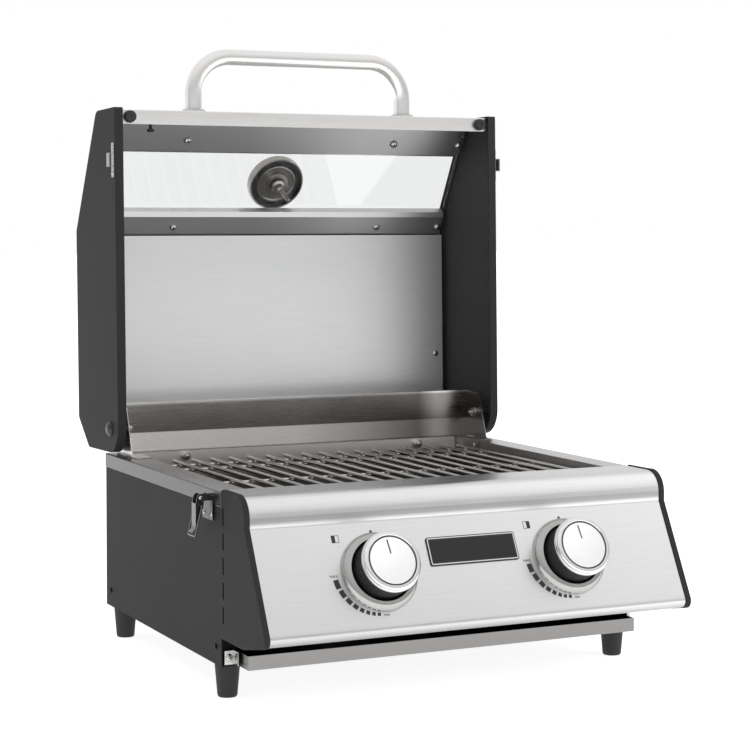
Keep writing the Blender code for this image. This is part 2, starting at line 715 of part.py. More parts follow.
def build_grate():
    """Rods from front to back, welded on cross rods whose ends rest on the firebox rails."""
    first = -(ROD_COUNT - 1) / 2 * ROD_PITCH
    length = GRATE_REAR - GRATE_FRONT
    middle = (GRATE_REAR + GRATE_FRONT) / 2
    obj = None
    for index in range(ROD_COUNT):
        x = first + index * ROD_PITCH
        rod = cylinder_mesh(ROD_R, length, "Y", 6)
        rod.transform(Matrix.Translation((x, middle, ROD_Z)))
        if obj is None:
            obj = add_part("cooking_grate", rod, STEEL, BASE)
            continue
        rods = rod if index == 1 else merged(rods, rod)
    cross = None
    for y in CROSS_RODS:
        bar = cylinder_mesh(ROD_R - 0.0001, 0.4780, "X", 6)
        bar.transform(Matrix.Translation((0, y, ROD_Z - 2 * ROD_R + 0.0008)))
        cross = bar if cross is None else merged(cross, bar)
    rods = merged(rods, obj.data)
    obj.data = rods
    obj.data.materials.clear()
    obj.data.materials.append(STEEL)
    fuse(obj, cross)
    return obj


def merged(first, second):
    bm = bmesh.new()
    bm.from_mesh(first)
    bm.from_mesh(second)
    mesh = bpy.data.meshes.new("merged")
    bm.to_mesh(mesh)
    bm.free()
    return mesh


# ---------------------------------------------------------------- draw latches
def build_latch(side, tag):
    out, z = LATCH_PIVOT
    ys = (LATCH_Y - LATCH_PLATE / 2, LATCH_Y + LATCH_PLATE / 2)
    plate = side_box(side, HALF_W + GAP, HALF_W + GAP + 0.0012, *ys, 0.2055, 0.2340)
    base = add_part(f"latch_base_{tag}", plate, ZINC, BASE)
    for way in (-1, 1):
        ys = sorted((LATCH_Y + way * 0.0040, LATCH_Y + way * 0.0052))
        fuse(base, side_box(side, HALF_W + 0.0009, out + 0.0030, *ys, z - 0.0040, z + 0.0030))
    fuse(base, cylinder_mesh(0.0014, 0.0138, "Y", 12), (side * out, LATCH_Y, z))
    lever_frame = add_empty(f"latch_lever_{tag}_frame", BASE, (side * out, LATCH_Y, z))
    build_lever(side, tag, lever_frame)
    drop = BAIL_PIVOT[1] - z
    bail_frame = add_empty(f"latch_bail_{tag}_frame", lever_frame, (0, 0, drop))
    build_bail(side, tag, bail_frame)


def build_lever(side, tag, frame):
    """A channel with its web outwards, turned out at the tip as a finger tab."""
    web = [
        (0.0050, -0.0062), (0.0050, -0.0350), (0.0095, -0.0405), (0.0105, -0.0397),
        (0.0061, -0.0345), (0.0061, -0.0062),
    ]
    mesh = outline_mesh([(side * a, b) for a, b in web], 0.0132, "XZ")
    obj = add_part(f"latch_lever_{tag}", mesh, ZINC, frame)
    drop = BAIL_PIVOT[1] - LATCH_PIVOT[1]
    for way in (-1, 1):
        ys = sorted((way * 0.0056, way * 0.0066))
        xs = sorted((side * -0.0035, side * 0.0055))
        fuse(obj, box_mesh((xs[0], ys[0], -0.0180), (xs[1], ys[1], 0.0044)))
    cut(obj, cylinder_mesh(0.0019, 0.02, "Y", 12))
    cut(obj, cylinder_mesh(0.0016, 0.02, "Y", 12), (0, 0, drop))
    return obj


def build_bail(side, tag, frame):
    """Wire loop; its ends turn in and sit in the lever's sides."""
    path = [(0, -0.0054, 0), (0, -BAIL_HALF + 0.0012, 0), (0, -BAIL_HALF, -0.0012)]
    path += [(0, -BAIL_HALF, -BAIL_LENGTH + 0.0025), (0, -BAIL_HALF + 0.0025, -BAIL_LENGTH)]
    path += [(a, -b, c) for a, b, c in reversed(path)]
    swing = Matrix.Rotation(-side * BAIL_REST, 4, "Y")
    mesh = tube_mesh([tuple(swing @ Vector(point)) for point in path], WIRE_R, 2)
    return add_part(f"latch_bail_{tag}", mesh, ZINC, frame)


# ---------------------------------------------------------------- lid
CHEEK = (  # (distance along the lid, depth behind the rim plane, radius), clockwise in (y, z)
    (0.4218, 0.0, 0.0030), (0.4218, 0.0790, 0.0140), (0.2637, 0.1735, 0.0100),
    (0.0065, 0.1725, 0.0080), (-0.0314, 0.1275, 0.0080), (-0.0314, 0.0, 0.0370),
)


def lid_corner(along, depth, radius=0.0):
    """A corner in the lid's frame, as (y, z, radius)."""
    return (depth - HINGE_DEPTH, along, radius)


def cheek_corners():
    return [lid_corner(*corner) for corner in CHEEK]


def build_cheek(side, name):
    outer = rounded(cheek_corners(), steps=5)
    mid = side * (CHEEK_X - CHEEK_FLANGE / 2)
    obj = add_part(name, outline_mesh(outer, CHEEK_FLANGE, "YZ", mid), PAINT, LID)
    pocket = rounded(inset(cheek_corners(), PANEL), steps=5)
    cut(obj, outline_mesh(pocket, CHEEK_FLANGE, "YZ", mid - side * PANEL))
    cut(obj, cylinder_mesh(0.0034, 0.02, "X"), (side * CHEEK_X, 0, 0))
    return obj


SKIN_INSET = 0.0023
LIP_DEPTH = 0.0068  # how far the lip lies behind the rim plane
LIP_WIDTH = 0.0190
SLANT = (Vector(CHEEK[2][:2]) - Vector(CHEEK[1][:2])).normalized()  # down the window's slant
SLANT_OUT = Vector((-SLANT.y, SLANT.x)) * -1.0
SLANT_TILT = math.atan2(SLANT.x, SLANT.y)  # turns +Z to point out of the slant


def slant_point(along, out):
    """(y, z) in the lid's frame: on a plane parallel to the slant, at a distance along the lid."""
    start = Vector(CHEEK[1][:2]) + SLANT_OUT * out
    spot = start + SLANT * ((along - start.x) / SLANT.x)
    return (spot.y - HINGE_DEPTH, spot.x)


def build_lid_skin():
    under = inset(cheek_corners(), SKIN_INSET)
    front = under[0][1]
    path = [
        (LIP_DEPTH - HINGE_DEPTH, front - LIP_WIDTH, 0), (LIP_DEPTH - HINGE_DEPTH, front, 0.0015),
        under[1], under[2], under[3], under[4], (under[4][0] - 0.0420, under[4][1], 0),
    ]
    profile = rounded(path, closed=False, steps=5)
    half = CHEEK_X - PANEL - 0.0006
    obj = sheet_part("lid_skin", profile, -half, half, STEEL, LID, SHEET, -1.0)
    for side in (-1, 1):  # the lip stops short of the cheeks' flanges
        xs = sorted((side * 0.2702, side * 0.30))
        low = (xs[0], -0.05, front - LIP_WIDTH - 0.01)
        cut(obj, box_mesh(low, (xs[1], LIP_DEPTH - HINGE_DEPTH + 0.0030, front - 0.0012)))
    middle = slant_point(WINDOW_MIDDLE, 0.0)
    window = box_mesh((-WINDOW_HALF_X, -WINDOW_HALF, -0.02), (WINDOW_HALF_X, WINDOW_HALF, 0.02))
    cut(obj, window, (0, *middle), (SLANT_TILT, 0, 0))
    return obj


WINDOW_MIDDLE = 0.3295
WINDOW_HALF = 0.0500
WINDOW_HALF_X = 0.2690
GLASS_OUT, GLASS_T = -0.0076, 0.0040
RETAINER_OUT = -0.0188


def build_glass():
    low = (-WINDOW_HALF_X - 0.0050, -WINDOW_HALF - 0.0040, GLASS_OUT)
    high = (WINDOW_HALF_X + 0.0050, WINDOW_HALF + 0.0040, GLASS_OUT + GLASS_T)
    obj = add_part("lid_glass", box_mesh(low, high), GLASS, LID,
                   (0, *slant_point(WINDOW_MIDDLE, 0.0)), (SLANT_TILT, 0, 0))
    cut(obj, cylinder_mesh(0.0062, 0.04), (0, *slant_point(WINDOW_MIDDLE, 0.0)), (SLANT_TILT, 0, 0))
    return obj


def build_retainers():
    inside = GLASS_OUT - GAP
    upper = [
        slant_point(0.3800, inside), slant_point(0.3705, RETAINER_OUT),
        slant_point(0.4055, RETAINER_OUT), slant_point(0.4130, RETAINER_OUT + 0.0050),
    ]
    sheet_part("glass_retainer_upper", upper, -0.2695, 0.2695, GREY_STEEL, LID, SHEET, -1.0)
    lower = [
        slant_point(0.2945, inside), slant_point(0.2890, RETAINER_OUT + 0.0030),
        slant_point(0.2823, RETAINER_OUT), slant_point(0.2549, RETAINER_OUT),
    ]
    sheet_part("glass_retainer_lower", lower, -0.2695, 0.2695, GREY_STEEL, LID, SHEET, -1.0)


def build_liner():
    """Flat inner panel of the lid, with its lower edge turned towards the skin."""
    face = 0.1515 - HINGE_DEPTH
    profile = [(face, 0.2560), (face, 0.0080), (face + 0.0080, 0.0050)]
    return sheet_part("lid_liner", profile, -0.2725, 0.2725, LINER, LID, SHEET, -1.0)


HANDLE_X, HANDLE_DEPTH, HANDLE_R = 0.1564, 0.0450, 0.0115
HANDLE_TOP, HANDLE_BEND = 0.4958, 0.0520


def build_handle():
    """Tube handle: two legs, two bends and the grip, with a washer at each foot."""
    foot = CHEEK[0][0] - SKIN_INSET + GAP
    y = HANDLE_DEPTH - HINGE_DEPTH
    arc = []
    for step in range(7):
        turn = math.pi / 2 * step / 6
        x = HANDLE_X - HANDLE_BEND + HANDLE_BEND * math.cos(turn)
        arc.append((x, y, HANDLE_TOP - HANDLE_BEND + HANDLE_BEND * math.sin(turn)))
    right = [(HANDLE_X, y, foot)] + arc
    path = right + [(-a, b, c) for a, b, c in reversed(right)]
    obj = add_part("lid_handle", tube_mesh(path, HANDLE_R, 4), STEEL, LID)
    for x in (-HANDLE_X, HANDLE_X):
        washer = cylinder_mesh(0.0176, 0.0030)
        fuse(obj, washer, (x, y, foot + 0.0015))
    return obj


THERMO_R = 0.0405


def build_thermometer():
    spot = (0, *slant_point(WINDOW_MIDDLE, 0.0))
    frame = add_empty("thermometer_frame", LID, spot, (SLANT_TILT, 0, 0))
    low = GLASS_OUT + GLASS_T + GAP
    turned_part("thermometer_case", [
        (THERMO_R - 0.0035, 0.0110), (THERMO_R, 0.0100), (THERMO_R, 0.0000),
        (THERMO_R - 0.0030, -0.0010), (THERMO_R - 0.0050, 0.0010), (0.0120, 0.0010), (0.0120, low),
        (0.0045, low), (0.0045, 0.0050), (THERMO_R - 0.0050, 0.0050),
    ], ALUMINIUM, frame, closed=True, steps=24)
    stem = turned_part("thermometer_probe", [
        (0.0, 0.0055), (0.0042, 0.0055), (0.0042, GLASS_OUT - GAP), (0.0100, GLASS_OUT - GAP),
        (0.0100, GLASS_OUT - 0.0030), (0.0058, GLASS_OUT - 0.0040), (0.0058, GLASS_OUT - 0.0120),
        (0.0030, GLASS_OUT - 0.0140), (0.0022, GLASS_OUT - 0.0150), (0.0022, GLASS_OUT - 0.0420),
        (0.0, GLASS_OUT - 0.0430),
    ], ZINC, frame, steps=16)
    wing = [(-0.0145, -0.0150), (-0.0120, -0.0060), (0.0120, -0.0060), (0.0145, -0.0150),
            (0.0060, -0.0110), (-0.0060, -0.0110)]
    fuse(stem, outline_mesh([(a, GLASS_OUT + b + 0.0010) for a, b in wing], 0.0024, "XZ"))
    needle = [(-0.0012, -0.0080), (-0.0003, 0.0280), (0.0003, 0.0280), (0.0012, -0.0080)]
    mesh = outline_mesh(needle, 0.0006, "XY", 0.0068)
    add_part("thermometer_needle", mesh, BLACK, frame, rotation=(0, 0, math.radians(135)))


STRAP_HALF = 0.0090


def build_catch(side, name):
    """Keeper on the cheek: a screwed plate with a raised strap for the bail."""
    along = HINGE_Y - LATCH_Y
    depth = CATCH_DEPTH - HINGE_DEPTH
    face = CHEEK_X + GAP
    plate = side_box(side, face, face + 0.0010, depth - 0.0045, depth + 0.0045,
                     along - 0.0225, along + 0.0225)
    obj = add_part(name, plate, ZINC, LID)
    strap = side_box(side, face + 0.0062, face + 0.0074, depth - 0.0050, depth + 0.0050,
                     along - STRAP_HALF, along + STRAP_HALF)
    fuse(obj, strap)
    for way in (-1, 1):
        zs = sorted((along + way * STRAP_HALF, along + way * (STRAP_HALF - 0.0012)))
        fuse(obj, side_box(side, face + 0.0005, face + 0.0068, depth - 0.0049, depth + 0.0049, *zs))
    return obj


def build_bumper(side, name):
    """Rubber stop on the lip; it meets the console's top when the lid is shut."""
    spot = (side * 0.2595, LIP_DEPTH - HINGE_DEPTH - GAP, 0.4100)
    profile = [(0.0, 0.0080), (0.0060, 0.0080), (0.0078, 0.0064), (0.0082, 0.0), (0.0, 0.0)]
    return turned_part(name, profile, RUBBER, LID, spot, (math.pi / 2, 0, 0), steps=18)


# ---------------------------------------------------------------- assembly
def build_base():
    build_side_panel(-1, "side_panel_left")
    build_side_panel(1, "side_panel_right")
    build_rear_panel()
    build_front_lower_panel()
    build_rim_frame()
    build_firebox()
    build_hinge_upstand()
    build_hinge_bolt(-1, "hinge_bolt_left")
    build_hinge_bolt(1, "hinge_bolt_right")
    for place, y in zip(("front", "rear"), FOOT_Y):
        build_foot(f"foot_{place}_left", -FOOT_X, y)
        build_foot(f"foot_{place}_right", FOOT_X, y)


def build_console():
    build_console_end(-1, "console_end_left")
    build_console_end(1, "console_end_right")
    build_console_panel()
    build_console_underside()
    build_heat_shield()
    build_badge()


def build_gas_train():
    build_manifold()
    build_inlet()
    for tag, x in (("left", -KNOB_X), ("right", KNOB_X)):
        build_burner(x, f"burner_{tag}")
        build_flame_tamer(x, f"flame_tamer_{tag}")
        build_knob_set(x, tag)


def build_lid():
    build_cheek(-1, "lid_cheek_left")
    build_cheek(1, "lid_cheek_right")
    build_lid_skin()
    build_glass()
    build_retainers()
    build_liner()
    build_handle()
    build_thermometer()
    for tag, side in (("left", -1), ("right", 1)):
        build_catch(side, f"latch_catch_{tag}")
        build_bumper(side, f"lid_bumper_{tag}")


build_base()
build_console()
build_gas_train()
build_tray()
build_tray_clip(-1, "tray_clip_left")
build_tray_clip(1, "tray_clip_right")
build_grate()
build_latch(-1, "left")
build_latch(1, "right")
build_lid()
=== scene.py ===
"""Looks of the two-burner tabletop gas grill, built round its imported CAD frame."""

import json
import math

import bmesh
import bpy
from mathutils import Matrix, Vector


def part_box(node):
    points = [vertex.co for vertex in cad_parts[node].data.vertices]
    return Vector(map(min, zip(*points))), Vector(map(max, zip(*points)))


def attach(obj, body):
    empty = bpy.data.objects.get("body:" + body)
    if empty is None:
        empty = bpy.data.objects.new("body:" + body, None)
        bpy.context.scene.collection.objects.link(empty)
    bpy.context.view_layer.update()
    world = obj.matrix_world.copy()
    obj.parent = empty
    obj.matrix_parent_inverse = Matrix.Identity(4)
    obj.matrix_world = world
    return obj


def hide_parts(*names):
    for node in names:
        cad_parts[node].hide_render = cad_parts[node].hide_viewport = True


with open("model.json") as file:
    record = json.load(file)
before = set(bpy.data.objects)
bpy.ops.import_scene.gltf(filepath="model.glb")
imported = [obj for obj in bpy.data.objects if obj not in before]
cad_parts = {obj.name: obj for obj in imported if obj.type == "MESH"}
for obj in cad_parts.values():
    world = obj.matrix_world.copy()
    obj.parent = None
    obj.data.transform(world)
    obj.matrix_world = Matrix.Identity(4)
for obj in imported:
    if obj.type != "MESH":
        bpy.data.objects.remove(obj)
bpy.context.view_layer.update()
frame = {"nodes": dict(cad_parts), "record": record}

JOINTS = {joint["name"]: joint for joint in frame["record"]["behaviour"]["joints"]}
HINGE = Vector(JOINTS["lid_hinge"]["pos_m"])
HINGE_TO_SEAM = 0.391
SEAM_Y = HINGE.y - HINGE_TO_SEAM  # world Y of the seam between firebox and console
HINGE_DEPTH = 0.0326  # how far the hinge lies behind the lid's rim plane
LID_LEAN = math.radians(1.3)  # the open lid's turn from upright
HALF_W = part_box("rim_frame")[1].x
BOX_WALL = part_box("firebox")[1].x
CHEEK_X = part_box("lid_cheek_right")[1].x
SIDE_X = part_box("side_panel_right")[1].x
SIDES = (("left", -1), ("right", 1))

BASE = Matrix.Translation((0, SEAM_Y, 0))
LID = Matrix.Translation(HINGE) @ Matrix.Rotation(-LID_LEAN, 4, "X")


def mm(*rows):
    """Rows of millimetres as rows of metres."""
    return [tuple(value / 1000 for value in row) for row in rows]


def facing(origin, outward):
    """A frame whose +Z is outward and whose +X is the row's +X."""
    z = Vector(outward).normalized()
    x = Vector((1, 0, 0))
    turn = Matrix((x, z.cross(x), z)).transposed()
    return Matrix.Translation(origin) @ turn.to_4x4()


KNOB = {
    side: facing(JOINTS[f"knob_turn_{side}"]["pos_m"], JOINTS[f"knob_turn_{side}"]["axis"])
    for side, _ in SIDES
}
DIAL = facing(
    JOINTS["thermometer_needle_turn"]["pos_m"],
    -Vector(JOINTS["thermometer_needle_turn"]["axis"]),
)


# ---- materials
def new_node(owner, kind):
    """Adds a shader node; the owner is a material or the world."""
    return owner.node_tree.nodes.new("ShaderNode" + kind)


def set_inputs(node, **values):
    """Sets sockets by name, with _ for each space."""
    for name, value in values.items():
        node.inputs[name.replace("_", " ")].default_value = value


def shader_of(mat):
    return mat.node_tree.nodes["Principled BSDF"]


def new_material(name, color, roughness, metallic=0.0, **more):
    mat = bpy.data.materials.new(name)
    mat.use_nodes = True
    set_inputs(shader_of(mat), Base_Color=(*color, 1.0), Roughness=roughness, Metallic=metallic,
               **more)
    mat.diffuse_color = (*color, 1.0)
    return mat


def add_noise(mat, scale, stretch=(1, 1, 1), detail=4.0):
    """A noise in the object's own space, stretched along its axes."""
    links = mat.node_tree.links
    coords = new_node(mat, "TexCoord")
    mapping = new_node(mat, "Mapping")
    set_inputs(mapping, Scale=stretch)
    noise = new_node(mat, "TexNoise")
    set_inputs(noise, Scale=scale, Detail=detail, Roughness=0.6)
    links.new(coords.outputs["Object"], mapping.inputs["Vector"])
    links.new(mapping.outputs["Vector"], noise.inputs["Vector"])
    return noise.outputs["Fac"]


def map_range(owner, value, low, high, start=0.3, end=0.7):
    """Turns start..end into low..high."""
    node = new_node(owner, "MapRange")
    set_inputs(node, From_Min=start, From_Max=end, To_Min=low, To_Max=high)
    owner.node_tree.links.new(value, node.inputs["Value"])
    return node.outputs["Result"]


def add_math(owner, operation, *values):
    node = new_node(owner, "Math")
    node.operation = operation
    for value, socket in zip(values, node.inputs):
        owner.node_tree.links.new(value, socket)
    return node.outputs[0]


def split_coords(owner, space):
    """The X, Y and Z outputs of a texture coordinate."""
    coords = new_node(owner, "TexCoord")
    split = new_node(owner, "SeparateXYZ")
    owner.node_tree.links.new(coords.outputs[space], split.inputs["Vector"])
    return split.outputs


def color_between(mat, value, first, second, start=0.35, end=0.65):
    ramp = new_node(mat, "ValToRGB")
    for stop, position, color in zip(ramp.color_ramp.elements, (start, end), (first, second)):
        stop.position = position
        stop.color = (*color, 1.0)
    mat.node_tree.links.new(value, ramp.inputs["Fac"])
    mat.node_tree.links.new(ramp.outputs["Color"], shader_of(mat).inputs["Base Color"])


def set_roughness(mat, value):
    mat.node_tree.links.new(value, shader_of(mat).inputs["Roughness"])


def add_bump(mat, height, distance, strength=1.0):
    bump = new_node(mat, "Bump")
    set_inputs(bump, Distance=distance, Strength=strength)
    mat.node_tree.links.new(height, bump.inputs["Height"])
    mat.node_tree.links.new(bump.outputs["Normal"], shader_of(mat).inputs["Normal"])


def tinted(color, amount):
    return tuple(min(1.0, channel * amount) for channel in color)


def brushed(name, color, roughness, along="X", grain=0.000006, spread=0.03):
    """Brushed sheet: fine lines along one axis, and a slow change of gloss."""
    mat = new_material(name, color, roughness, 1.0)
    lines = {"X": (0.008, 1, 1), "Y": (1, 0.008, 1), "Z": (1, 1, 0.008)}[along]
    fine = add_noise(mat, 2400.0, lines, 2.0)
    slow = add_noise(mat, 7.0, (1, 1, 1), 3.0)
    gloss = map_range(mat, fine, -spread, spread)
    wear = map_range(mat, slow, roughness - 0.01, roughness + 0.02)
    set_roughness(mat, add_math(mat, "ADD", gloss, wear))
    color_between(mat, fine, tinted(color, 0.95), tinted(color, 1.03))
    add_bump(mat, fine, grain)
    return mat


def painted(name, color, roughness, grain=0.00003):
    """Powder coat: a fine orange peel with slight changes of gloss and tone."""
    mat = new_material(name, color, roughness, Specular_IOR_Level=0.04)
    peel = add_noise(mat, 1400.0, (1, 1, 1), 2.0)
    slow = add_noise(mat, 9.0, (1, 1, 1), 5.0)
    set_roughness(mat, map_range(mat, slow, roughness - 0.02, roughness + 0.03))
    color_between(mat, slow, tinted(color, 0.96), tinted(color, 1.05))
    add_bump(mat, peel, grain, 0.6)
    return mat


def moulded(name, color, roughness, grain=0.00005):
    """Moulded rubber or plastic, and print: a fine pebble with uneven gloss and tone."""
    mat = new_material(name, color, roughness)
    pebble = add_noise(mat, 2200.0, (1, 1, 1), 2.0)
    slow = add_noise(mat, 30.0, (1, 1, 1), 4.0)
    set_roughness(mat, map_range(mat, slow, roughness - 0.07, roughness + 0.1))
    color_between(mat, slow, tinted(color, 0.85), tinted(color, 1.25))
    add_bump(mat, pebble, grain, 0.7)
    return mat


def cast(name, color, roughness, metallic=1.0, grain=0.00001, spread=0.04):
    """Plated or turned small metal; spread is how uneven its gloss and tone are."""
    mat = new_material(name, color, roughness, metallic)
    slow = add_noise(mat, 160.0, (1, 1, 1), 4.0)
    set_roughness(mat, map_range(mat, slow, roughness - spread, roughness + spread))
    color_between(mat, slow, tinted(color, 1.0 - 2 * spread), tinted(color, 1.0 + spread))
    add_bump(mat, slow, grain, 0.5)
    return mat


def shade_along(mat, axis, low, high, levels, mirrored=False):
    """Multiplies the base colour by a ramp along one axis of the object: painted shade and light.

    Each level is (share of the way from low to high, factor). Mirrored takes the
    distance from zero, so both sides are shaded alike.
    """
    links = mat.node_tree.links
    along = split_coords(mat, "Object")[axis]
    if mirrored:
        along = add_math(mat, "ABSOLUTE", along)
    shade = new_node(mat, "ValToRGB")
    stops = shade.color_ramp.elements
    for index, (position, level) in enumerate(levels):
        stop = stops[index] if index < 2 else stops.new(position)
        stop.position = position
        stop.color = (level, level, level, 1.0)
    links.new(map_range(mat, along, 0.0, 1.0, low, high), shade.inputs["Fac"])
    base = shader_of(mat).inputs["Base Color"]
    blend = new_node(mat, "Mix")
    blend.data_type = "RGBA"
    blend.blend_type = "MULTIPLY"
    set_inputs(blend, Factor=1.0)
    colors = [socket for socket in blend.inputs if socket.type == "RGBA"]
    links.new(base.links[0].from_socket, colors[0])
    links.new(shade.outputs["Color"], colors[1])
    links.new([out for out in blend.outputs if out.type == "RGBA"][0], base)


def glass_material():
    """Clear glass with faint smears."""
    mat = new_material("window_glass", (0.9, 0.91, 0.91), 0.02, IOR=1.45,
                       Transmission_Weight=1.0)
    smear = add_noise(mat, 14.0, (1, 4, 1), 4.0)
    set_roughness(mat, map_range(mat, smear, 0.0, 0.035))
    return mat


# Ramps of painted shade and reflection for shade_along, as (share of the way, factor).
LID_RAMP = ((0.1, 1.0), (0.2, 0.62), (1.0, 0.56))
RIM_EDGE_RAMP = ((0.3, 1.0), (0.42, 0.26))
BOX_HEIGHT_RAMP = ((0.0, 0.26), (0.75, 1.0))
BOX_EDGE_RAMP = ((0.35, 1.0), (0.55, 0.45))
UPSTAND_WIDTH_RAMP = (
    (0.0, 1.15), (0.06, 1.0), (0.5, 0.88), (0.66, 0.6), (0.78, 0.34), (0.86, 0.2), (0.91, 0.5),
)
UPSTAND_HEIGHT_RAMP = ((0.0, 1.0), (0.385, 1.0), (0.405, 0.56), (0.93, 0.66), (0.965, 1.5))
LINER_RAMP = ((0.0, 1.0), (0.3, 0.9), (0.75, 0.745), (1.0, 0.71))
CONSOLE_WIDTH_RAMP = ((0.0, 0.82), (0.45, 0.87), (1.0, 1.0))
CONSOLE_HEIGHT_RAMP = (
    (0.03, 0.42), (0.11, 0.94), (0.745, 1.0), (0.765, 0.8), (0.785, 0.4), (0.815, 0.36),
    (0.832, 0.74), (0.86, 1.0), (0.93, 0.97), (0.968, 0.48),
)
EDGE_BAND, WALL_BAND = 0.002, 0.006  # widths that the two edge ramps span

STEEL = brushed("brushed_stainless", (0.84, 0.83, 0.82), 0.3)
# The lid's sheet grows darker away from its lip, over its top and back: painted shade and
# reflection.
LID_STEEL = brushed("lid_stainless", (0.84, 0.83, 0.82), 0.3)
shade_along(LID_STEEL, "Y", HINGE.y - HINGE_DEPTH, HINGE.y + 0.15, LID_RAMP)
# The rim: a darker copy of the stainless, darker still on its outer flange: painted shade and
# painted reflection of the dark lid.
RIM_STEEL_SHADED = brushed("rim_stainless", (0.34, 0.33, 0.325), 0.24, "Y")
shade_along(RIM_STEEL_SHADED, "X", HALF_W - EDGE_BAND, HALF_W, RIM_EDGE_RAMP, True)
# The grease tray: a dark copy of the stainless, painted dim reflection.
STEEL_TRAY = brushed("tray_stainless", (0.27, 0.265, 0.26), 0.32)
# The bezels: a darker copy of the stainless, painted dim reflection.
STEEL_RING = cast("bezel_stainless", (0.44, 0.435, 0.425), 0.2, spread=0.02)
# The firebox and burners: a slight heat tone, with painted shade that darkens them towards the
# bottom and at the side walls.
STEEL_HOT_SHADED = brushed("firebox_stainless", (0.86, 0.84, 0.82), 0.4)
shade_along(STEEL_HOT_SHADED, "Z", 0.2, 0.225, BOX_HEIGHT_RAMP)
shade_along(STEEL_HOT_SHADED, "X", BOX_WALL - WALL_BAND, BOX_WALL, BOX_EDGE_RAMP, True)
# The hinge upstand: a darker copy of the stainless, darker towards its right end and on its upper
# band, lighter at its top edge: painted shade and reflection.
STEEL_FOLD = brushed("upstand_stainless", (0.66, 0.64, 0.625), 0.26)
shade_along(STEEL_FOLD, "X", -0.26, 0.26, UPSTAND_WIDTH_RAMP)
shade_along(STEEL_FOLD, "Z", 0.24, 0.308, UPSTAND_HEIGHT_RAMP)
# The flame tamers: a dark copy of the stainless, painted shade deep in the firebox.
STEEL_TAMER = brushed("tamer_stainless", (0.16, 0.15, 0.145), 0.34)
STEEL_HANDLE = brushed("handle_stainless", (0.8, 0.79, 0.775), 0.27)
STEEL_ROD = cast("rod_stainless", (0.6, 0.58, 0.565), 0.2, grain=0.000001, spread=0.015)
# The liner: darker towards its top, painted shade.
LINER = brushed("liner_stainless", (0.97, 0.98, 0.99), 0.5, "X", 0.000002, 0.01)
shade_along(LINER, "Z", 0.28, 0.56, LINER_RAMP)
# The console sheet: bands of painted reflection and shade along its bends, and darker towards its
# left end.
CONSOLE_STEEL = brushed("console_stainless", (0.98, 0.975, 0.97), 0.3)
shade_along(CONSOLE_STEEL, "X", -0.28, 0.28, CONSOLE_WIDTH_RAMP)
shade_along(CONSOLE_STEEL, "Z", 0.08, 0.25, CONSOLE_HEIGHT_RAMP)
# The two window retainers: darker copies of the stainless in two tones, painted shade and
# reflection.
RETAINER = brushed("retainer_stainless", (0.4, 0.4, 0.405), 0.38, "X", 0.000002, 0.01)
RETAINER_LOW = brushed("lower_retainer_stainless", (0.62, 0.62, 0.625), 0.38, "X", 0.000002, 0.01)
PAINT = painted("dark_grey_paint", (0.026, 0.026, 0.0265), 0.5)
# A lighter copy of the cheek paint for the cheeks' inner faces: painted light.
PAINT_INSIDE = painted("inner_dark_paint", (0.056, 0.056, 0.0565), 0.52)
BLACK = painted("black_paint", (0.008, 0.008, 0.009), 0.45)
RUBBER = moulded("black_rubber", (0.012, 0.012, 0.012), 0.62)
PLASTIC = moulded("black_plastic", (0.004, 0.004, 0.0042), 0.45)
INK = moulded("black_ink", (0.018, 0.018, 0.019), 0.55, 0.00001)
GLOSS_BLACK = moulded("gloss_black", (0.012, 0.012, 0.012), 0.2, 0.000002)
GASKET = moulded("gasket_rubber", (0.01, 0.01, 0.01), 0.75)
CHROME = cast("knob_chrome", (0.8, 0.8, 0.81), 0.14, grain=0.000002, spread=0.01)
CAP_FACE = cast("knob_face", (0.97, 0.97, 0.975), 0.38, 0.8, grain=0.000001, spread=0.01)
# Dark floors of the knob's grooves and the dark band inside the thermometer's rim: painted shade.
GROOVE_SHADE = cast("knob_ring", (0.11, 0.11, 0.115), 0.45)
ZINC = cast("zinc_steel", (0.56, 0.555, 0.545), 0.26)
LATCH_STEEL = cast("latch_steel", (0.16, 0.157, 0.153), 0.24)
LATCH_PLATE = cast("latch_plate_steel", (0.075, 0.074, 0.072), 0.28)
CATCH_STEEL = cast("catch_steel", (0.36, 0.355, 0.35), 0.24)
# Dark colour in the screws' cross recesses: painted shade.
RECESS_SHADE = cast("screw_recess", (0.1, 0.1, 0.1), 0.5)
BRASS = cast("valve_brass", (0.62, 0.46, 0.2), 0.35)
ALUMINIUM = cast("dial_aluminium", (0.36, 0.34, 0.32), 0.34)
DIAL_FACE = moulded("dial_face", (0.78, 0.78, 0.76), 0.45, 0.00001)
GLASS = glass_material()


# ---- mesh helpers
ROW = Matrix.Identity(4)


def add_object(name, data):
    obj = bpy.data.objects.new(name, data)
    bpy.context.scene.collection.objects.link(obj)
    return obj


def evaluated_mesh(obj):
    bpy.context.view_layer.update()
    graph = bpy.context.evaluated_depsgraph_get()
    return bpy.data.meshes.new_from_object(obj.evaluated_get(graph))


def smooth(mesh, angle=35.0):
    mesh.shade_smooth()
    mesh.set_sharp_from_angle(angle=math.radians(angle))


def finish_object(name, bm, mats, body, matrix, slot=None, replaces=(), angle=35.0):
    """Makes the object in the row frame, smooths it and lets it ride on a body."""
    bmesh.ops.remove_doubles(bm, verts=bm.verts, dist=0.0000005)
    bmesh.ops.recalc_face_normals(bm, faces=bm.faces)
    mesh = bpy.data.meshes.new(name)
    bm.to_mesh(mesh)
    bm.free()
    for mat in mats if isinstance(mats, (list, tuple)) else [mats]:
        mesh.materials.append(mat)
    mesh.transform(matrix)
    smooth(mesh, angle)
    obj = add_object(name, mesh)
    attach(obj, body)
    if replaces:
        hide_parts(*replaces)
    return obj


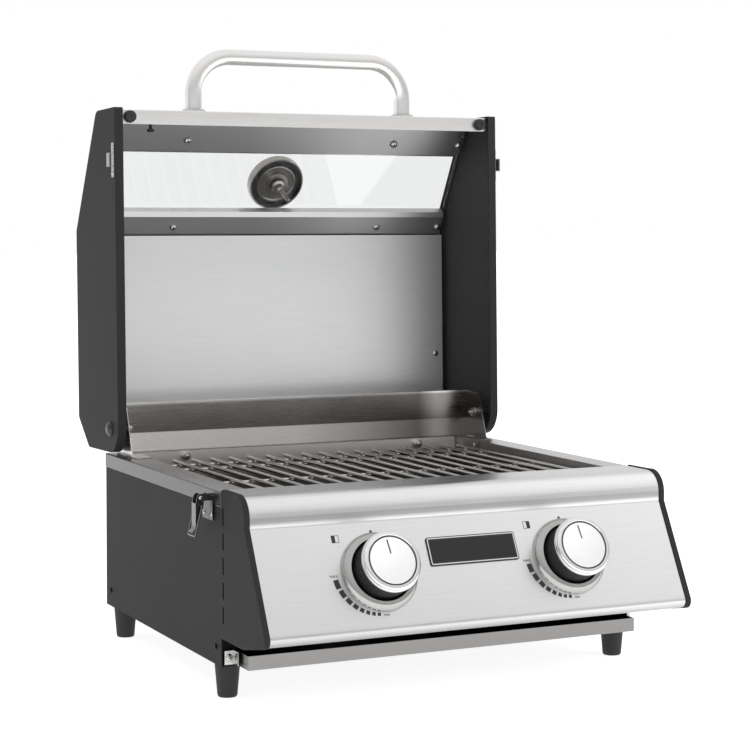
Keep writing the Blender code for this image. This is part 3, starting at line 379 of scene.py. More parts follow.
def add_ring(bm, radius, z, steps, wave=None):
    if radius <= 0:
        return [bm.verts.new((0, 0, z))]
    ring = []
    for step in range(steps):
        angle = 2 * math.pi * step / steps
        r = radius + (wave(angle) if wave else 0.0)
        ring.append(bm.verts.new((r * math.cos(angle), r * math.sin(angle), z)))
    return ring


def join_rings(bm, first, second, index=0):
    count = max(len(first), len(second))
    for step in range(count):
        nxt = (step + 1) % count
        if len(first) == 1:
            corners = [first[0], second[step], second[nxt]]
        elif len(second) == 1:
            corners = [first[step], second[0], first[nxt]]
        else:
            corners = [first[step], second[step], second[nxt], first[nxt]]
        bm.faces.new(corners).material_index = index


def add_turned(bm, profile, steps=48, closed=False, bands=None, waves=None):
    """Adds a shape turned from (radius, z) points.

    Bands gives each segment's material, and waves each point's change of radius.
    """
    rings = []
    for index, (radius, z) in enumerate(profile):
        wave = waves.get(index) if waves else None
        rings.append(add_ring(bm, radius, z, steps, wave))
    pairs = list(zip(rings, rings[1:]))
    if closed:
        pairs.append((rings[-1], rings[0]))
    for index, (first, second) in enumerate(pairs):
        join_rings(bm, first, second, bands[index] if bands else 0)


def add_turned_at(bm, place, profile, steps, bands=None):
    start = len(bm.verts)
    add_turned(bm, profile, steps, bands=bands)
    bm.verts.ensure_lookup_table()
    bmesh.ops.transform(bm, matrix=place, verts=bm.verts[start:])


def turned(
    name, profile, mats, body, matrix, steps=48, closed=False, bands=None, waves=None, **more
):
    bm = bmesh.new()
    add_turned(bm, profile, steps, closed, bands, waves)
    finish_object(name, bm, mats, body, matrix, **more)


def add_box(bm, low, high, matrix=None, index=0):
    low, high = Vector(low), Vector(high)
    made = bmesh.ops.create_cube(bm, size=1.0)["verts"]
    bmesh.ops.scale(bm, vec=high - low, verts=made)
    bmesh.ops.translate(bm, vec=(low + high) / 2, verts=made)
    if matrix:
        bmesh.ops.transform(bm, matrix=matrix, verts=made)
    for vert in made:
        for face in vert.link_faces:
            face.material_index = index
    return made


def smooth_path(points, radius, steps=8):
    """Rounds the corners of a 3-D path."""
    points = [Vector(point) for point in points]
    path = [points[0]]
    for before, corner, after in zip(points, points[1:], points[2:]):
        to_before = (before - corner).normalized()
        to_after = (after - corner).normalized()
        half = to_before.angle(to_after) / 2
        room = min((before - corner).length, (after - corner).length) / 2
        reach = min(radius / math.tan(half), room)
        start, end = corner + to_before * reach, corner + to_after * reach
        for step in range(steps + 1):
            t = step / steps
            path.append(start.lerp(corner, t).lerp(corner.lerp(end, t), t))
    path.append(points[-1])
    return path


def add_tube(bm, path, radius, sides, dome=0.0):
    """A round bar along a path, with flat or slightly domed ends."""
    points = [Vector(point) for point in path]
    tangents = []
    for step, point in enumerate(points):
        before = points[max(step - 1, 0)]
        after = points[min(step + 1, len(points) - 1)]
        tangents.append((after - before).normalized())
    side = tangents[0].orthogonal().normalized()
    rings = []
    for point, tangent in zip(points, tangents):
        side = (side - tangent * side.dot(tangent)).normalized()
        up = tangent.cross(side)
        ring = []
        for step in range(sides):
            angle = 2 * math.pi * step / sides
            spot = point + (side * math.cos(angle) + up * math.sin(angle)) * radius
            ring.append(bm.verts.new(spot))
        rings.append(ring)
    for first, second in zip(rings, rings[1:]):
        join_rings(bm, first, second)
    ends = ((rings[0], points[0], -tangents[0]), (rings[-1], points[-1], tangents[-1]))
    for ring, point, way in ends:
        join_rings(bm, ring, [bm.verts.new(point + way * dome)])


def arc(radius, first, last, steps=4):
    angles = [first + (last - first) * step / steps for step in range(steps + 1)]
    return [(radius * math.cos(angle), radius * math.sin(angle)) for angle in angles]


def fillet(before, corner, after, radius, steps):
    """Points of the arc that rounds a corner of a 2-D outline."""
    corner = Vector(corner)
    to_before = (Vector(before) - corner).normalized()
    to_after = (Vector(after) - corner).normalized()
    half = to_before.angle(to_after) / 2
    reach = radius / math.tan(half)
    start = corner + to_before * reach
    centre = corner + (to_before + to_after).normalized() * (radius / math.sin(half))
    end = corner + to_after * reach
    sweep = (start - centre).angle_signed(end - centre)
    arm = start - centre
    return [tuple(centre + Matrix.Rotation(-sweep * k / steps, 2) @ arm) for k in range(steps + 1)]


def rounded(corners, closed=True, steps=12):
    """An outline from corners (a, b, radius)."""
    points = []
    count = len(corners)
    for index, (a, b, radius) in enumerate(corners):
        inner = closed or 0 < index < count - 1
        if radius <= 0 or not inner:
            points.append((a, b))
            continue
        before, after = corners[index - 1][:2], corners[(index + 1) % count][:2]
        points.extend(fillet(before, (a, b), after, radius, steps))
    return points


def line_meet(p, along_p, q, along_q):
    """Where two 2-D lines cross."""
    cross = along_p.x * along_q.y - along_p.y * along_q.x
    step = (q - p).x * along_q.y - (q - p).y * along_q.x
    return p + along_p * (step / cross)


def inset(corners, distance):
    """Corners (a, b, radius) of a clockwise closed outline moved inwards."""
    count = len(corners)
    points = [Vector(corner[:2]) for corner in corners]
    lines = []
    for index in range(count):
        along = (points[(index + 1) % count] - points[index]).normalized()
        lines.append((points[index] + Vector((along.y, -along.x)) * distance, along))
    moved = []
    for index in range(count):
        corner = line_meet(*lines[index - 1], *lines[index])
        radius = corners[index][2]
        moved.append((corner.x, corner.y, max(radius - distance, 0.0) if radius else 0.0))
    return moved


def add_slab(bm, near, far, index=0):
    """A closed solid between two outlines with the same number of points."""
    near, far = [[bm.verts.new(point) for point in outline] for outline in (near, far)]
    for corners in (near, list(reversed(far))):
        bm.faces.new(corners).material_index = index
    join_rings(bm, near, far, index)


def add_prism(bm, outline, x_low, x_high):
    """A closed (y, z) outline with depth along X."""
    add_slab(bm, *[[(x, y, z) for y, z in outline] for x in (x_low, x_high)])


def flat_piece(bm, outline, z_low, z_high, matrix, index=0):
    """A flat shape with a little height, given in a frame's XY."""
    loops = [[matrix @ Vector((x, y, z)) for x, y in outline] for z in (z_low, z_high)]
    add_slab(bm, *loops, index)


def side_line(points, distance):
    """An open (y, z) line moved to its left by a distance."""
    points = [Vector(point) for point in points]
    moved = []
    for step, point in enumerate(points):
        before = points[step] - points[step - 1] if step else points[1] - points[0]
        after = points[step + 1] - point if step + 1 < len(points) else before
        first = Vector((-before.y, before.x)).normalized()
        second = Vector((-after.y, after.x)).normalized()
        mean = (first + second).normalized()
        moved.append(tuple(point + mean * (distance / max(mean.dot(first), 0.3))))
    return moved


def add_folded(bm, line, thickness, x_low, x_high):
    """A folded sheet from an open (y, z) line; positive thickness is to its left."""
    add_prism(bm, line + side_line(line, thickness)[::-1], x_low, x_high)


def box_cutter(low, high, matrix):
    bm = bmesh.new()
    add_box(bm, low, high, matrix)
    return bm


def carve(obj, bm):
    """Cuts a shape, given in the row frame, out of a finished piece."""
    mesh = bpy.data.meshes.new("cutter")
    bmesh.ops.recalc_face_normals(bm, faces=bm.faces)
    bm.to_mesh(mesh)
    bm.free()
    cutter = add_object("cutter", mesh)
    modifier = obj.modifiers.new("cut", "BOOLEAN")
    modifier.operation = "DIFFERENCE"
    modifier.object = cutter
    made = evaluated_mesh(obj)
    obj.modifiers.clear()
    obj.data = made
    bpy.data.objects.remove(cutter)
    smooth(made)


def bore(obj, place, radius, reach):
    """Drills a round hole through a finished piece, along the Z of a frame."""
    hole = bmesh.new()
    add_turned_at(hole, place, [(0.0, reach), (radius, reach), (radius, -reach), (0.0, -reach)], 32)
    carve(obj, hole)


# ---- small fasteners
PAN_HEAD = (
    (0.0, 0.62), (0.3, 0.6), (0.62, 0.5), (0.86, 0.3), (1.0, 0.06), (1.0, 0.0), (0.0, 0.0),
)
RECESS_TURN = 0.4  # radians


def add_screw(bm, radius, place, cross=True):
    """A pan-head screw: material 0 is the head, 1 the recess, painted dark as shade."""
    add_turned_at(bm, place, [(r * radius, z * radius) for r, z in PAN_HEAD], 28)
    if cross:
        size, top = radius * 0.55, radius * 0.63
        low, high = (-size, -size * 0.2, top * 0.8), (size, size * 0.2, top)
        for turn in (RECESS_TURN, RECESS_TURN + math.pi / 2):
            add_box(bm, low, high, place @ Matrix.Rotation(turn, 4, "Z"), 1)


def screws(name, places, radius, body, mats=(ZINC, RECESS_SHADE), cross=True):
    """Several screws of one kind on one body; each place is a frame whose +Z points out."""
    bm = bmesh.new()
    for place in places:
        add_screw(bm, radius, place, cross)
    finish_object(name, bm, mats, body, ROW, "zinc_steel")


def towards(position, direction):
    """A frame at a position with its +Z along a direction."""
    turn = Vector(direction).to_track_quat("Z", "Y").to_matrix().to_4x4()
    return Matrix.Translation(position) @ turn


# ---- carried-over nodes
def dress(mat, *nodes):
    for name in nodes:
        mesh = frame["nodes"][name].data
        mesh.materials.clear()
        mesh.materials.append(mat)


def both(name):
    return f"{name}_left", f"{name}_right"


def dress_nodes():
    dress(PAINT, "rear_panel", *both("side_panel"))
    dress(BLACK, "front_lower_panel", "console_underside", "thermometer_needle")
    dress(RIM_STEEL_SHADED, "rim_frame")
    dress(STEEL_HOT_SHADED, "firebox", *both("burner"))
    dress(STEEL_FOLD, "hinge_upstand")
    dress(STEEL_TAMER, *both("flame_tamer"))
    dress(STEEL_TRAY, "grease_tray")
    dress(ZINC, "heat_shield", *both("tray_clip"), *both("valve_stem"))
    dress(LATCH_PLATE, *both("latch_base"))
    dress(CATCH_STEEL, *both("latch_catch"))
    dress(BRASS, "gas_manifold", "gas_inlet", *both("valve"))
    dress(LINER, "lid_liner")
    dress(RETAINER, "glass_retainer_upper")
    dress(RETAINER_LOW, "glass_retainer_lower")
    dress(GLASS, "lid_glass")


# ---- console
CONSOLE = mm(  # end cap outline as (y, z, radius), clockwise seen from the right
    (-0.3, 70.8, 0), (-62, 70.8, 0), (-136.8, 85.7, 10), (-72.4, 207.5, 6), (-72, 244, 26),
    (-0.3, 244, 0),
)
CONSOLE_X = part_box("console_panel")[1].x
CONSOLE_SHEET = 0.001
CONSOLE_TUCK = 0.003  # how far the sheet reaches behind the seam
CONSOLE_RETURN = 0.037  # width of the strip turned in under the slope
STEM_HOLE = 0.008
CAP_T, CAP_ROUND = 0.007, 0.004  # an end cap's thickness, and its outer edge's rounding
SLOT_HEIGHT, SLOT_PITCH, SLOT_TOP, SLOT_ROWS = 0.0195, 0.0283, 0.2036, 5
SLOTS = [SLOT_TOP - row * SLOT_PITCH for row in range(SLOT_ROWS)]  # their lower ends
SLOT_FRONT, SLOT_BACK = -0.0098, -0.0056
SLOT_LAP = 0.0002  # how far the dark backing reaches past a slot
PANEL_FACE = -0.001  # the console sheet's outer face in a knob's frame


def build_console_panel():
    under = inset(CONSOLE, CONSOLE_SHEET)
    corners = [(CONSOLE_TUCK, under[5][1], 0), under[4], under[3], under[2]]
    slope = (Vector(under[1][:2]) - Vector(under[2][:2])).normalized()
    end = Vector(under[2][:2]) + slope * CONSOLE_RETURN
    line = rounded(corners + [(end.x, end.y, 0)], closed=False, steps=20)
    bm = bmesh.new()
    add_folded(bm, line, CONSOLE_SHEET, -CONSOLE_X, CONSOLE_X)
    obj = finish_object("console_sheet", bm, CONSOLE_STEEL, "base", BASE,
                        "brushed_stainless", ("console_panel",))
    for place in KNOB.values():
        bore(obj, place, STEM_HOLE, 0.01)


def build_console_end(tag, side):
    """An end cap with rounded outer edges, its slots, and the dark backing behind them: painted
    shade inside the console.
    """
    outline = rounded(CONSOLE, steps=14)
    bm = bmesh.new()
    add_prism(bm, outline, *sorted((side * HALF_W, side * (HALF_W - CAP_T))))
    outer = [
        edge for edge in bm.edges
        if all(abs(abs(v.co.x) - HALF_W) < 1e-6 for v in edge.verts)
        and not all(v.co.y > -0.001 for v in edge.verts)
    ]
    bmesh.ops.bevel(bm, geom=outer, offset=CAP_ROUND, segments=5, profile=0.5, affect="EDGES")
    obj = finish_object(f"console_cap_{tag}", bm, PAINT, "base", BASE,
                        "dark_grey_paint", (f"console_end_{tag}",))
    cutter = bmesh.new()
    # The backing is a dark sheet that stands in for the shade inside the console.
    backs = bmesh.new()
    inner = sorted(side * (HALF_W - CAP_T + depth) for depth in (0.0005, 0.001))
    for z in SLOTS:
        add_box(cutter, (-0.3, SEAM_Y + SLOT_FRONT, z),
                (0.3, SEAM_Y + SLOT_BACK, z + SLOT_HEIGHT))
        add_box(backs, (inner[0], SLOT_FRONT - SLOT_LAP, z - SLOT_LAP),
                (inner[1], SLOT_BACK + SLOT_LAP, z + SLOT_HEIGHT + SLOT_LAP))
    carve(obj, cutter)
    finish_object(f"slot_backs_{tag}", backs, BLACK, "base", BASE, "black_paint")


INK_LOW, INK_HIGH = PANEL_FACE + 0.00002, PANEL_FACE + 0.00009
MARKS, MARK_START, MARK_GAP = 8, 185.3, 2.8  # the last two in degrees
MARK_WIDEST, MARK_NARROWEST, MARK_FALL = 11.0, 4.5, 1.9  # degrees, degrees, power
MARK_OUTER, MARK_OUTER_FALL = 0.0586, 0.0067
MARK_INNER, MARK_INNER_FALL = 0.0521, 0.004
DOT_R, DOT_UP = 0.0016, 0.0488
LETTER_HALF = 0.00003  # half of a letter's thickness
LABELS = (("max", (-0.0566, -0.0012), 0.0048), ("min", (-0.0016, -0.0505), 0.0042))
ICON_X, ICON_Y, ICON_HALF, ICON_LINE = -0.046, 0.0426, 0.0045, 0.0005


def build_dial_marks(tag):
    """Flow marks that shrink from MAX to MIN, the off dot and the burner icon."""
    bm = bmesh.new()
    start = MARK_START
    for mark in range(MARKS):
        share = mark / (MARKS - 1)
        width = MARK_NARROWEST + (MARK_WIDEST - MARK_NARROWEST) * (1.0 - share) ** MARK_FALL
        first, last = math.radians(start), math.radians(start + width)
        start += width + MARK_GAP
        outer = arc(MARK_OUTER - MARK_OUTER_FALL * share, first, last)
        inner = arc(MARK_INNER - MARK_INNER_FALL * share, last, first)
        flat_piece(bm, outer + inner, INK_LOW, INK_HIGH, KNOB[tag])
    dot = [(x, DOT_UP + y) for x, y in arc(DOT_R, 0.0, 1.9 * math.pi, 19)]
    flat_piece(bm, dot, INK_LOW, INK_HIGH, KNOB[tag])
    add_icon(bm, tag)
    finish_object(f"dial_marks_{tag}", bm, INK, "base", ROW, "black_plastic")
    for word, middle, size in LABELS:
        label(f"label_{word}_{tag}", word.upper(), middle, size, tag)


def add_icon(bm, tag):
    """A square with one half filled: the burner that the knob works."""
    way = -1 if tag == "left" else 1
    middle, far = ICON_X - way * 0.0003, ICON_X - way * ICON_HALF
    low, high = ICON_Y - ICON_HALF, ICON_Y + ICON_HALF
    gap = ICON_LINE * 1.2
    for x0, y0, x1, y1 in (
        (ICON_X, low, ICON_X + way * ICON_HALF, high),
        (middle, high - ICON_LINE, far, high),
        (middle, low, far, low + ICON_LINE),
        (far + way * ICON_LINE, low + gap, far, high - gap),
    ):
        x0, x1 = sorted((x0, x1))
        corners = [(x0, y0), (x1, y0), (x1, y1), (x0, y1)]
        flat_piece(bm, corners, INK_LOW, INK_HIGH, KNOB[tag])


def label(name, words, middle, size, tag):
    """Generic lettering printed beside a knob."""
    curve = bpy.data.curves.new(name, "FONT")
    curve.body = words
    curve.size = size
    curve.align_x = curve.align_y = "CENTER"
    curve.extrude = LETTER_HALF
    holder = add_object(name, curve)
    mesh = evaluated_mesh(holder)
    bpy.data.objects.remove(holder)
    bm = bmesh.new()
    bm.from_mesh(mesh)
    place = KNOB[tag] @ Matrix.Translation((*middle, INK_LOW + LETTER_HALF))
    finish_object(name, bm, INK, "base", place, "black_plastic")


BADGE_X, BADGE_Y = 0.1166, 0.0346  # the plate's size, just inside its CAD solid


def build_badge():
    """A plain enamel plate with a bright raised edge."""
    low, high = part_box("badge_plate")
    middle = facing((low + high) / 2, JOINTS["knob_turn_left"]["axis"])

    def frame_outline(shrink, radius):
        a, b = BADGE_X / 2 - shrink, BADGE_Y / 2 - shrink
        corners = [(-a, -b, radius), (-a, b, radius), (a, b, radius), (a, -b, radius)]
        return rounded(corners, steps=6)

    bm = bmesh.new()
    flat_piece(bm, frame_outline(0.0, 0.003), -0.0007, 0.0001, middle, 0)
    outer, inner = frame_outline(0.0012, 0.0022), frame_outline(0.0024, 0.0012)
    add_band(bm, outer, inner, 0.0001, 0.0006, middle, 1)
    flat_piece(bm, frame_outline(0.0042, 0.0008), 0.00012, 0.0003, middle, 2)
    finish_object("badge", bm, [INK, CHROME, PLASTIC], "base", ROW,
                  "grey_stainless", ("badge_plate",))


def add_band(bm, outer, inner, z_low, z_high, matrix, index):
    """A flat frame between two outlines with the same number of points."""
    loops = []
    for outline, z in ((outer, z_low), (outer, z_high), (inner, z_high), (inner, z_low)):
        loops.append([bm.verts.new(matrix @ Vector((x, y, z))) for x, y in outline])
    for first, second in zip(loops, loops[1:] + loops[:1]):
        join_rings(bm, first, second, index)


# ---- knobs
BEZEL_RING = mm(  # turned profiles are (radius, height)
    (37.1, 9.5), (37.6, 9.9), (38.4, 9.9), (39.2, 9.4), (40.8, 9.1), (43, 8.2), (45, 6.4),
    (46.3, 4.2), (46.9, 2.2), (46.9, 0.3), (9, 0.3), (9, 2), (37.1, 2),
)
SKIRT = mm(
    (4.3, 30.8), (32.6, 30.8), (33, 30), (34, 18), (34.8, 8.5), (35, 5.6), (33, 5.5),
    (30.8, 27.5), (8, 27.5), (8, 7.5), (4.3, 7.5),
)
KNOB_CAP = mm(
    (0, 39.6), (27.1, 39.6), (27.5, 39.4), (27.7, 38.7), (29.4, 38.7), (29.6, 39.6), (30.2, 40.1),
    (31.6, 40.1), (33, 39.6), (34, 38.8), (34.5, 37.9), (34.6, 37.2), (35.4, 36.8), (35.8, 35.8),
    (35.8, 33.6), (35.4, 32.2), (34.2, 31.4), (0, 31.4),
)
RIBS, RIB_DEPTH = 90, 0.0009
POINTER = ((-0.0008, 0.008, 0.03955), (0.0008, 0.0245, 0.0397))
POINTER_TURN = math.radians(5.0)


def ribs(angle):
    return -RIB_DEPTH * abs(math.sin(angle * RIBS / 2))


def build_knob(tag):
    """Bezel ring on the console, then the ribbed grip, bright cap and pointer that turn."""
    place = KNOB[tag]
    body = f"knob_{tag}"
    profile = [(r, PANEL_FACE + z) for r, z in BEZEL_RING]
    bands = [0] * (len(profile) - 2) + [1, 0]
    turned(f"bezel_ring_{tag}", profile, [STEEL_RING, BLACK], "base", place, 96, True, bands,
           slot="brushed_stainless", replaces=(f"bezel_{tag}",))
    waves = {2: ribs, 3: ribs, 4: ribs}
    turned(f"knob_grip_{tag}", SKIRT, PLASTIC, body, place, 360, True, None, waves,
           slot="black_plastic", replaces=(f"knob_skirt_{tag}",), angle=50.0)
    # The groove floors take the dark ring colour, painted shade.
    bands = [0, 0, 1, 2] + [1] * 6 + [2] + [1] * 6
    turned(f"knob_top_{tag}", KNOB_CAP, [CAP_FACE, CHROME, GROOVE_SHADE], body, place, 96, False,
           bands, slot="knob_chrome", replaces=(f"knob_cap_{tag}",))
    bm = bmesh.new()
    add_box(bm, *POINTER, Matrix.Rotation(POINTER_TURN, 4, "Z"))
    finish_object(f"knob_pointer_{tag}", bm, INK, body, place, "black_plastic")


# ---- firebox fittings
FOOT_TOP = mm((0, 0), (14.4, 0), (14.8, -0.6), (14.7, -2.2))  # heights below the foot's top
FOOT_BOTTOM = mm((11.9, 3), (11.5, 1.2), (10.6, 0), (4.5, 0), (4, 1.6), (0, 1.6))


def build_feet():
    for place in ("front_left", "front_right", "rear_left", "rear_right"):
        low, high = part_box(f"foot_{place}")
        centre = ((low.x + high.x) / 2, (low.y + high.y) / 2, 0)
        profile = [(r, high.z + z) for r, z in FOOT_TOP] + FOOT_BOTTOM
        turned(f"foot_pad_{place}", profile, RUBBER, "base", Matrix.Translation(centre), 56,
               slot="black_rubber", replaces=(f"foot_{place}",))


EAR_X = 0.2641  # outer face of the upstand's ear
HINGE_HEAD = mm(  # (radius, distance out from the cheek)
    (0, 5.4), (3, 5.2), (6, 4.3), (8.6, 2.6), (10, 0.6), (10, 0), (3, 0), (3, -1.8), (5.5, -1.8),
)
HINGE_NUT = mm(  # (radius, distance out from the ear)
    (5.5, 0.3), (3, 0.3), (3, -1.5), (7, -1.5), (7, -2.4), (5.8, -2.4), (5.8, -7), (3, -7.4),
    (3, -11.2), (2.4, -11.8), (0, -11.8),
)


def build_hinge_bolts():
    """A domed cap outside the cheek, and a spacer, washer and nut inside it."""
    head = CHEEK_X + 0.0003
    profile = [(r, head + x) for r, x in HINGE_HEAD] + [(r, EAR_X + x) for r, x in HINGE_NUT]
    bands = [1] * 6 + [0] * (len(profile) - 7)
    for tag, side in SIDES:
        place = Matrix.Translation(HINGE) @ Matrix.Rotation(side * math.pi / 2, 4, "Y")
        turned(f"hinge_pin_{tag}", profile, [ZINC, GLOSS_BLACK], "base", place, 40, False, bands,
               slot="zinc_steel", replaces=(f"hinge_bolt_{tag}",))


def at(x, y, z):
    """A point given from the seam."""
    return Vector((x, y + SEAM_Y, z))


COLLAR = mm((0, 7), (4.6, 7), (5.6, 6), (5.6, 0), (0, 0))
REAR_SCREWS = mm((-260, 60), (-260, 225), (0, 60), (260, 60), (260, 225))


def build_firebox_fittings():
    """Collars and screws in the firebox, rivets in the ears, and screws in the panels."""
    bm = bmesh.new()
    places = []
    for x in (-0.1705, 0.1795):
        place = towards(at(x, 0.4107, 0.234), (0, -1, 0))
        add_turned_at(bm, place, COLLAR, 28)
        places.append(place @ Matrix.Translation((0, 0, COLLAR[0][1])))
    finish_object("firebox_collars", bm, ZINC, "base", ROW, "zinc_steel")
    screws("firebox_screws", places, 0.0034, "base")
    rivets = [towards(at(side * 0.2411, 0.353, 0.235), (-side, 0, 0)) for _, side in SIDES]
    screws("ear_rivets", rivets, 0.0028, "base", [ZINC], False)
    front = [towards(at(side * 0.2685, -0.0031, 0.05), (0, -1, 0)) for _, side in SIDES]
    screws("clip_screws", front, 0.0045, "base")
    flanks = [
        towards(at(side * SIDE_X, y, 0.06), (side, 0, 0))
        for _, side in SIDES for y in (0.018, 0.408)
    ]
    screws("side_screws", flanks, 0.0036, "base", [BLACK, RECESS_SHADE])
    back = [towards(at(x, 0.4271, z), (0, 1, 0)) for x, z in REAR_SCREWS]
    screws("rear_screws", back, 0.0036, "base", [BLACK, RECESS_SHADE])


ROD_R, RODS, ROD_PITCH, ROD_SIDES = 0.0026, 18, 0.02665, 14
CROSS_RODS = (0.043, 0.166, 0.309, 0.355)  # distances behind the seam
WELD_LAP = 0.0008  # how far a cross rod reaches into the rods above it


def build_grate():
    """Rods from front to rear, welded on cross rods."""
    low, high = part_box("cooking_grate")
    z = high.z - ROD_R * math.cos(math.pi / 6)
    front, rear = low.y + 0.0008, high.y - 0.0008
    bm = bmesh.new()
    for index in range(RODS):
        x = (index - (RODS - 1) / 2) * ROD_PITCH
        path = [(x, front, z), (x, (front + rear) / 2, z), (x, rear, z)]
        add_tube(bm, path, ROD_R, ROD_SIDES, 0.0006)
    for y in CROSS_RODS:
        path = [at(x, y, z - 2 * ROD_R + WELD_LAP) for x in (low.x + 0.0006, high.x - 0.0006)]
        add_tube(bm, path, ROD_R - 0.0002, ROD_SIDES, 0.0005)
    finish_object("grate_rods", bm, STEEL_ROD, "cooking_grate", ROW,
                  "brushed_stainless", ("cooking_grate",))


# ---- latches
LEVER_STRIP = mm(  # (x, z) from the lever's pin, x outwards
    (6.1, -6.4), (6.1, -30), (6.3, -34.5), (7.8, -37.5), (10.4, -39.6), (9.7, -40.5), (7, -38.4),
    (5.3, -35), (5.1, -30), (5.1, -6.4),
)
LEVER_CHEEK = mm(
    (5.3, -6.2), (5.3, -30), (3, -30), (1, -18), (-3.4, -12), (-4.2, -3), (-3.4, 2.6), (0, 4.4),
    (3.2, 3), (5, -1),
)
LEVER_HALF, LEVER_INSIDE = 0.0066, 0.0056
BAIL_HALF, BAIL_LENGTH, BAIL_END, BAIL_WIRE = 0.0116, 0.03585, 0.0054, 0.00112
BAIL_HANG = math.radians(14.0)
LATCH_FACE, CATCH_FACE = HALF_W + 0.0015, CHEEK_X + 0.0013  # outer faces of the two plates


def build_latch(tag, side):
    """A draw latch: lever, wire bail, and the screws of its plate and catch."""
    pin = Vector(JOINTS[f"latch_lever_hinge_{tag}"]["pos_m"])
    lever_place = Matrix.Translation(pin) @ Matrix.Diagonal((side, 1, 1, 1))
    bm = bmesh.new()
    for outline, y_low, y_high in (
        (LEVER_STRIP, -LEVER_HALF, LEVER_HALF),
        (LEVER_CHEEK, -LEVER_HALF, -LEVER_INSIDE),
        (LEVER_CHEEK, LEVER_INSIDE, LEVER_HALF),
    ):
        add_slab(bm, *[[(x, y, z) for x, z in outline] for y in (y_low, y_high)])
    finish_object(f"lever_{tag}", bm, LATCH_STEEL, f"latch_lever_{tag}", lever_place,
                  "zinc_steel", (f"latch_lever_{tag}",))
    pivot = Vector(JOINTS[f"latch_bail_hinge_{tag}"]["pos_m"])
    swing = Matrix.Rotation(-side * BAIL_HANG, 4, "Y")
    path = smooth_path([
        (0, -BAIL_END, 0), (0, -BAIL_HALF, 0), (0, -BAIL_HALF, -BAIL_LENGTH),
        (0, BAIL_HALF, -BAIL_LENGTH), (0, BAIL_HALF, 0), (0, BAIL_END, 0),
    ], 0.0026)
    bm = bmesh.new()
    add_tube(bm, path, BAIL_WIRE, 16)
    finish_object(f"bail_{tag}", bm, LATCH_STEEL, f"latch_bail_{tag}",
                  Matrix.Translation(pivot) @ swing, "zinc_steel", (f"latch_bail_{tag}",))
    plate = [
        towards(Vector((side * LATCH_FACE, pin.y + y, 0.2125)), (side, 0, 0))
        for y in (-0.012, 0.012)
    ]
    screws(f"latch_screws_{tag}", plate, 0.003, "base")
    pins = [towards(pin + Vector((0, way * 0.0067, 0)), (0, way, 0)) for way in (-1, 1)]
    screws(f"lever_pin_{tag}", pins, 0.0024, "base", cross=False)
    low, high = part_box(f"latch_catch_{tag}")
    middle = (low + high) / 2
    catch = [
        towards(Vector((side * CATCH_FACE, middle.y, middle.z + z)), (side, 0, 0))
        for z in (-0.0172, 0.0172)
    ]
    screws(f"catch_screws_{tag}", catch, 0.0028, "lid")


# ---- lid
CHEEK = mm(  # (distance along the lid, depth behind the rim plane, radius), clockwise in (y, z)
    (421.8, 0, 3), (421.8, 79, 14), (263.7, 173.5, 10), (6.5, 172.5, 8), (-31.4, 127.5, 8),
    (-31.4, 0, 37),
)
PANEL = 0.0012  # thickness of a cheek's sheet
CHEEK_EDGE = 0.0005
CHEEK_FLANGE = 0.0117
BOLT_HOLE = 0.0034
SKIN_INSET, SKIN_T, SKIN_GAP = 0.0023, 0.001, 0.0006
SKIN_RETURN = 0.042  # width of the strip turned in at the lid's hinge end
LIP_DEPTH, LIP_WIDTH = 0.0068, 0.019
LIP_HALF_X = 0.2702
SLANT = (Vector(CHEEK[2][:2]) - Vector(CHEEK[1][:2])).normalized()
SLANT_OUT = Vector((SLANT.y, -SLANT.x))
RETAINER_OUT, RETAINER_T = -0.0188, 0.0011
RETAINER_SCREWS = mm(
    (-264, 385), (-153, 385), (160, 385), (264, 385), (-264, 268), (-150.5, 268), (164, 268),
    (264, 268),
)
WINDOW_HALF, WINDOW_HALF_X = 0.05, 0.269


def cheek_corners():
    """The cheek's outline in the lid's frame, as (y, z, radius)."""
    return [(depth - HINGE_DEPTH, along, radius) for along, depth, radius in CHEEK]


def build_cheek(tag, side):
    """A pan: a plate with a turned-in edge all round."""
    corners = cheek_corners()
    outer = rounded(corners, steps=14)
    inner = rounded(inset(corners, PANEL), steps=14)
    softer = rounded(inset(corners, CHEEK_EDGE), steps=14)
    bm = bmesh.new()
    loops = []
    for outline, depth in (
        (softer, 0.0), (outer, CHEEK_EDGE), (outer, CHEEK_FLANGE), (inner, CHEEK_FLANGE),
        (inner, PANEL),
    ):
        loops.append([bm.verts.new((side * (CHEEK_X - depth), y, z)) for y, z in outline])
    for index, (first, second) in enumerate(zip(loops, loops[1:])):
        join_rings(bm, first, second, 1 if index == 3 else 0)
    bm.faces.new(loops[0])
    bm.faces.new(loops[-1]).material_index = 1
    obj = finish_object(f"cheek_{tag}", bm, [PAINT, PAINT_INSIDE], "lid", LID,
                        "dark_grey_paint", (f"lid_cheek_{tag}",))
    place = Matrix.Translation((side * CHEEK_X, HINGE.y, HINGE.z))
    bore(obj, place @ Matrix.Rotation(math.pi / 2, 4, "Y"), BOLT_HOLE, 0.02)


def slant_point(along, out):
    """(y, z) in the lid's frame on a plane parallel to the slant."""
    start = Vector(CHEEK[1][:2]) + SLANT_OUT * out
    spot = start + SLANT * ((along - start.x) / SLANT.x)
    return (spot.y - HINGE_DEPTH, spot.x)


